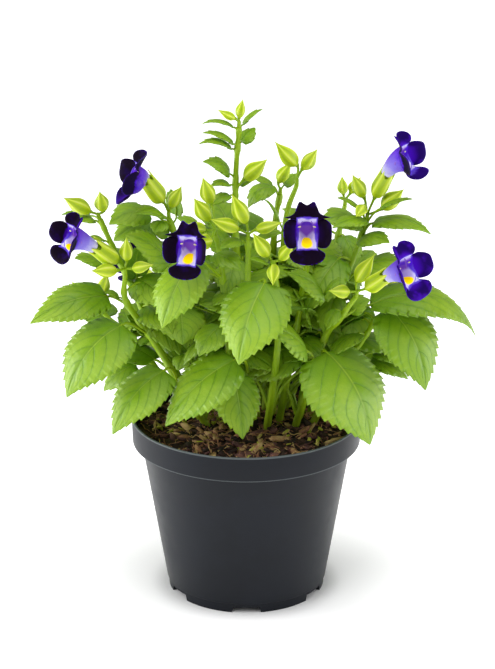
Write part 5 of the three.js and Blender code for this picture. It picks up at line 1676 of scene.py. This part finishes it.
class BloomLooks(bpy.types.PropertyGroup):
    """Colours of the blooms."""

    velvet_colour: colour("Velvet", "The dark lobes", (0.004, 0.0, 0.008))
    edge_colour: colour("Edge", "The lobes' bright edges", (0.045, 0.0, 0.34))
    halo_colour: colour("Halo", "The border between throat and lobes", (0.075, 0.008, 0.68))
    throat_low_colour: colour("Lower throat", "The throat round the yellow spot", (0.64, 0.6, 0.93))
    throat_high_colour: colour("Upper throat", "The throat under the upper lip", (0.26, 0.1, 0.62))
    spot_colour: colour("Spot", "The spot on the lower lip", (1.0, 0.72, 0.0))
    tube_foot_colour: colour("Tube foot", "The tube at the calyx", (0.7, 0.68, 0.9))
    tube_low_colour: colour("Lower tube", "The tube's lower half", (0.3, 0.24, 0.82))
    tube_high_colour: colour("Upper tube", "The tube's upper half", (0.15, 0.07, 0.66))
    tube_back_colour: colour("Top of the tube", "The tube's side under the upper lip", (0.11, 0.02, 0.56))
    lobe_back_colour: colour("Lobe back", "The backs of the lobes", (0.006, 0.0, 0.03))
    # Painted light: lighter copies of the velvet and the edge, for the blooms that catch the light.
    bright_velvet_colour: colour("Bright velvet", "The lobes of blooms that catch light", (0.012, 0.0, 0.1))
    bright_edge_colour: colour("Bright edge", "The edges of blooms that catch light", (0.075, 0.004, 0.56))
    anther_colour: colour("Anther", "The stamens' ends", (0.85, 0.75, 0.35))


class PotLooks(bpy.types.PropertyGroup):
    """Colours and finish of the pot."""

    plastic_colour: colour("Plastic", "Main colour of the pot", (0.0055, 0.007, 0.0105))
    plastic_light_colour: colour("Light plastic", "Lighter patches of the pot", (0.0095, 0.012, 0.018))
    # Painted highlight along the lip and the skirt's lower edge.
    rim_highlight_colour: colour("Plastic edges", "The lip and the skirt's lower edge", (0.13, 0.15, 0.155))
    plastic_roughness: number("Roughness", "Roughness of the plastic", 0.36, 0, 1)
    sides: amount("Sides", "Facets round the pot", 180, 30, 360)


class SoilLooks(bpy.types.PropertyGroup):
    """Colours and amounts of the potting mix."""

    chips: amount("Chips", "Number of bark chips", 460, 0, 4000)
    fibres: amount("Fibres", "Number of fibres", 260, 0, 1000)
    black_colour: colour("Black", "Wet peat", (0.008, 0.005, 0.004))
    brown_colour: colour("Brown", "Dark bark", (0.04, 0.02, 0.013))
    plum_colour: colour("Plum", "Purple-brown bark", (0.16, 0.068, 0.062))
    bark_colour: colour("Bark", "Mid-brown bark", (0.37, 0.175, 0.085))
    straw_colour: colour("Straw", "Light fibres and chips", (0.6, 0.41, 0.18))
    moss_colour: colour("Moss", "Yellow-green bits of leaf", (0.4, 0.4, 0.04))


class StageLooks(bpy.types.PropertyGroup):
    """The floor, the light and the camera."""

    floor_colour: colour("Floor", "Colour of the floor", (0.93, 0.93, 0.935))
    world_strength: number("Room light", "Strength of the even light", 0.3, 0, 5)
    key_power: power("Key light", "Power of the main lamp", 7)
    fill_power: power("Fill light", "Power of the lamp on the right", 3.8)
    left_power: power("Left light", "Power of the low lamp on the left", 17.4)
    right_power: power("Right light", "Power of the low lamp on the right", 7.8)
    top_power: power("Top light", "Power of the overhead lamp", 12.5)


# The lamps, each of them square: its place and its size.
LAMPS = {
    "key": ((-0.9, -1.1, 1.1), 0.9),
    "fill": ((1.2, -0.8, 0.7), 0.9),
    "left": ((-1.2, 0.1, 0.2), 0.9),
    "right": ((1.2, 0.1, 0.2), 0.9),
    "top": ((0, -0.25, 1.6), 1.5),
}


def add_lamp(name, place, size, watts):
    """Adds a square soft light that points at the plant. Places are in metres from the pot's axis."""
    data = bpy.data.lights.new(name, "AREA")
    data.shape = "SQUARE"
    data.size = size
    data.energy = watts
    lamp = bpy.data.objects.new(name, data)
    lamp.location = Vector(place) + Vector(POT_AXIS)
    direction = Vector(LAMP_TARGET) - Vector(place)
    lamp.rotation_euler = direction.to_track_quat("-Z", "Y").to_euler()
    bpy.context.scene.collection.objects.link(lamp)


# The camera, and the lamps' target, in metres from the pot's axis.
CAMERA_DISTANCE = 1.457
CAMERA_PITCH = math.radians(20)
CAMERA_TARGET = (0.00065, 0.0, 0.151)
FOCAL_PIXELS = 2600
PHOTO_HEIGHT = 669
SENSOR = 36
LAMP_TARGET = (0, 0, 0.16)
FLOOR_RADII = [0, 0.3, 1, 2, 4]
# How brightly the floor glows at some distances from the pot's axis; the weaker glow near the pot paints
# shade round its foot.
FLOOR_SHINE = [(0, 0), (0.046, 0), (0.056, 0.3), (0.12, 0.66), (0.7, 0.75)]


class WISHBONE_OT_stage(bpy.types.Operator):
    """Set the floor, the lights and the camera"""

    bl_idname = "wishbone.stage"
    bl_label = "Stage"

    def execute(self, context):
        looks = context.scene.wishbone_stage
        self.floor(looks)
        self.light(context, looks)
        self.camera(context)
        return {"FINISHED"}

    def floor(self, looks):
        """A round floor: rings of points at growing radius, flat at height 0."""
        skin = Skin()
        skin.grid(circles(FLOOR_RADII, np.zeros(len(FLOOR_RADII)), 64) / MM)
        mesh = skin.mesh("floor")
        if mesh.polygons[0].normal.z < 0:
            mesh.flip_normals()
        floor = bpy.data.objects.new("floor", mesh)
        bpy.context.scene.collection.objects.link(floor)
        mesh.materials.append(floor_material(looks))

    def light(self, context, looks):
        world = bpy.data.worlds.new("room")
        world.use_nodes = True
        background = world.node_tree.nodes["Background"]
        background.inputs["Color"].default_value = (1, 1, 1, 1)
        background.inputs["Strength"].default_value = looks.world_strength
        context.scene.world = world
        for name, (place, size) in LAMPS.items():
            add_lamp(name, place, size, getattr(looks, name + "_power"))

    def camera(self, context):
        data = bpy.data.cameras.new("camera")
        data.sensor_width = SENSOR
        data.lens = FOCAL_PIXELS * SENSOR / PHOTO_HEIGHT
        data.clip_end = 20
        camera = bpy.data.objects.new("camera", data)
        target = Vector(CAMERA_TARGET) + Vector(POT_AXIS)
        back = Vector((0, -math.cos(CAMERA_PITCH), math.sin(CAMERA_PITCH)))
        camera.location = target + CAMERA_DISTANCE * back
        camera.rotation_euler = (math.pi / 2 - CAMERA_PITCH, 0, 0)
        context.scene.collection.objects.link(camera)
        context.scene.camera = camera
        context.scene.view_settings.view_transform = "Standard"


class WISHBONE_OT_pot(bpy.types.Operator):
    """Turn the pot, and cut its notches and drain holes"""

    bl_idname = "wishbone.pot"
    bl_label = "Pot"

    def execute(self, context):
        looks = context.scene.wishbone_pot
        skin = Skin()
        profile = pot_profile()
        skin.grid(circles(profile[:, 0], profile[:, 1], looks.sides))
        pot = skin.piece("nursery_pot", [], "pot", ["pot"])
        cut(pot, bpy.data.objects.new("pot_cutter", cutter_mesh()))
        pot.data.materials.clear()
        pot.data.materials.append(pot_material(looks))
        pot.data.shade_smooth()
        pot.data.set_sharp_from_angle(angle=SHARP_EDGE)
        return {"FINISHED"}


class WISHBONE_OT_potting_mix(bpy.types.Operator):
    """Fill the pot with potting mix, bark chips and fibres"""

    bl_idname = "wishbone.potting_mix"
    bl_label = "Potting mix"

    def execute(self, context):
        looks = context.scene.wishbone_soil
        materials = [soil_material(looks)]
        plug = Skin()
        add_soil(plug)
        plug.piece("potting_mix_plug", materials, "soil", ["potting_mix"])
        random = np.random.default_rng(SEED)
        chips = Skin()
        for share, *form in CHIP_KINDS:
            add_chips(chips, random, int(looks.chips * share), *form)
        chips.piece("bark_chips", materials, "soil")
        fibres = Skin()
        add_fibres(fibres, random, looks.fibres)
        fibres.piece("fibres", materials, "soil")
        return {"FINISHED"}


class WISHBONE_OT_leafy_stems(bpy.types.Operator):
    """Grow the stems with their leaves, each leaf where the part's source set it"""

    bl_idname = "wishbone.leafy_stems"
    bl_label = "Leafy stems"

    def execute(self, context):
        looks = context.scene.wishbone_leaf
        veins = vein_group(looks)
        materials = [stem_green(context), leaf_material(looks, veins, upper=True),
                     leaf_material(looks, veins, upper=False)]
        stems = {name: Stem(points) for name, points in STEMS.items()}
        leaves = all_leaves(stems)
        inner = inner_leaves(stems)
        if len(leaves) < len(LEAVES):
            raise RuntimeError("the packed model has fewer leaves than the table")
        for name, height, foot, point, radius in STEM_BUDS:
            skin = Skin()
            add_bud(skin, stems[name].at(height), foot, point, radius, context.scene.wishbone_bud, 0.3)
            skin.piece("axil_bud_" + name, [stem_green(context), bud_skin(context)], "bud")
        random = np.random.default_rng(SEED)
        for name, stem in stems.items():
            own = [leaf for leaf in leaves + inner if leaf.stem == name]
            skin = Skin()
            add_stem(skin, stem, [leaf.root[2] for leaf in own])
            for leaf in own:
                height = (leaf.base[2] - YOUNG_FROM) / (YOUNG_TO - YOUNG_FROM)
                young = 0.7 * smooth(height) + 0.3 * random.random()
                # Leaves inside the plant are painted darker, as painted shade.
                young = INNER_SHADE_TONE * young if leaf in inner else young
                wave = random.random()
                add_blade(skin, leaf, looks, young, wave)
                add_petiole(skin, leaf, looks, 0.6 + 0.4 * young, wave)
            for _ in range(SHOOTS_A_STEM):
                add_shoot(skin, name, stem, looks, random)
            skin.piece("stem_and_leaves_" + name, materials, "leaf", ["leafy_stem_" + name])
        return {"FINISHED"}


class WISHBONE_OT_bud_sprays(bpy.types.Operator):
    """Set the sprays of keeled buds on the stems' tops"""

    bl_idname = "wishbone.bud_sprays"
    bl_label = "Bud sprays"

    def execute(self, context):
        looks = context.scene.wishbone_bud
        materials = [stem_green(context), bud_skin(context)]
        random = np.random.default_rng(SEED + 1)
        for name, (hub, buds) in SPRAYS.items():
            stem = Stem(STEMS[name])
            skin = Skin()
            hub = np.array(hub, float)
            share = np.linspace(0, 1, len(TOP_RADII))[:, None]
            path = lerp(stem.samples[-1], hub + 0.9 * stem.tangent_at_top(), share)
            tube(skin, path, TOP_RADII, 12, tone=1.0)
            for index, (foot, point, radius) in enumerate(buds):
                opened = name in BLOOMS and BLOOMS[name][0] == index
                add_bud(skin, hub, foot, point, radius, looks, random.random(), opened)
            skin.piece("buds_" + name, materials, "bud", ["bud_spray_" + name])
        return {"FINISHED"}


class WISHBONE_OT_blooms(bpy.types.Operator):
    """Open the two-lipped blooms"""

    bl_idname = "wishbone.blooms"
    bl_label = "Blooms"

    def execute(self, context):
        looks = context.scene.wishbone_bloom
        dark = petal_front_material(looks, "petal_front", looks.velvet_colour, looks.edge_colour, 0.12)
        # Painted light: a lighter copy of the face, with a wider lit border and stronger bright patches, for
        # the blooms whose lobes catch the light.
        bright = petal_front_material(looks, "petal_front_bright", looks.bright_velvet_colour,
                                      looks.bright_edge_colour, 0.5)
        others = [petal_back_material(looks), stamen_material(looks)]
        for name, (index, mouth, face, lean, size) in BLOOMS.items():
            foot, point, _ = SPRAYS[name][1][index]
            bloom = BloomFrame(mouth, face, lean, size, name in FOLDED_LIPS, name in FORWARD_LIPS)
            skin = Skin()
            add_bloom(skin, bloom, np.array(foot, float), np.array(point, float))
            add_stamens(skin, bloom)
            front = bright if name in BRIGHT_BLOOMS else dark
            skin.piece("corolla_" + name, [front, *others], "petal", ["bloom_" + name])
        return {"FINISHED"}


class WISHBONE_PT_panel(bpy.types.Panel):
    """Lists the steps that build the plant"""

    bl_label = "Wishbone flower"
    bl_space_type = "VIEW_3D"
    bl_region_type = "UI"
    bl_category = "Wishbone flower"

    def draw(self, context):
        for operator in OPERATORS:
            self.layout.operator(operator.bl_idname)


GROUPS = {
    "wishbone_leaf": LeafLooks,
    "wishbone_bud": BudLooks,
    "wishbone_bloom": BloomLooks,
    "wishbone_pot": PotLooks,
    "wishbone_soil": SoilLooks,
    "wishbone_stage": StageLooks,
}
OPERATORS = [WISHBONE_OT_stage, WISHBONE_OT_pot, WISHBONE_OT_potting_mix, WISHBONE_OT_leafy_stems,
             WISHBONE_OT_bud_sprays, WISHBONE_OT_blooms]


def register():
    for group in GROUPS.values():
        bpy.utils.register_class(group)
    for name, group in GROUPS.items():
        setattr(bpy.types.Scene, name, PointerProperty(type=group))
    for operator in OPERATORS:
        bpy.utils.register_class(operator)
    bpy.utils.register_class(WISHBONE_PT_panel)


def unregister():
    bpy.utils.unregister_class(WISHBONE_PT_panel)
    for operator in reversed(OPERATORS):
        bpy.utils.unregister_class(operator)
    for name, group in GROUPS.items():
        delattr(bpy.types.Scene, name)
        bpy.utils.unregister_class(group)


def main():
    register()
    bpy.ops.wishbone.stage()
    bpy.ops.wishbone.pot()
    bpy.ops.wishbone.potting_mix()
    bpy.ops.wishbone.leafy_stems()
    bpy.ops.wishbone.bud_sprays()
    bpy.ops.wishbone.blooms()


if __name__ == "__main__":
    main()
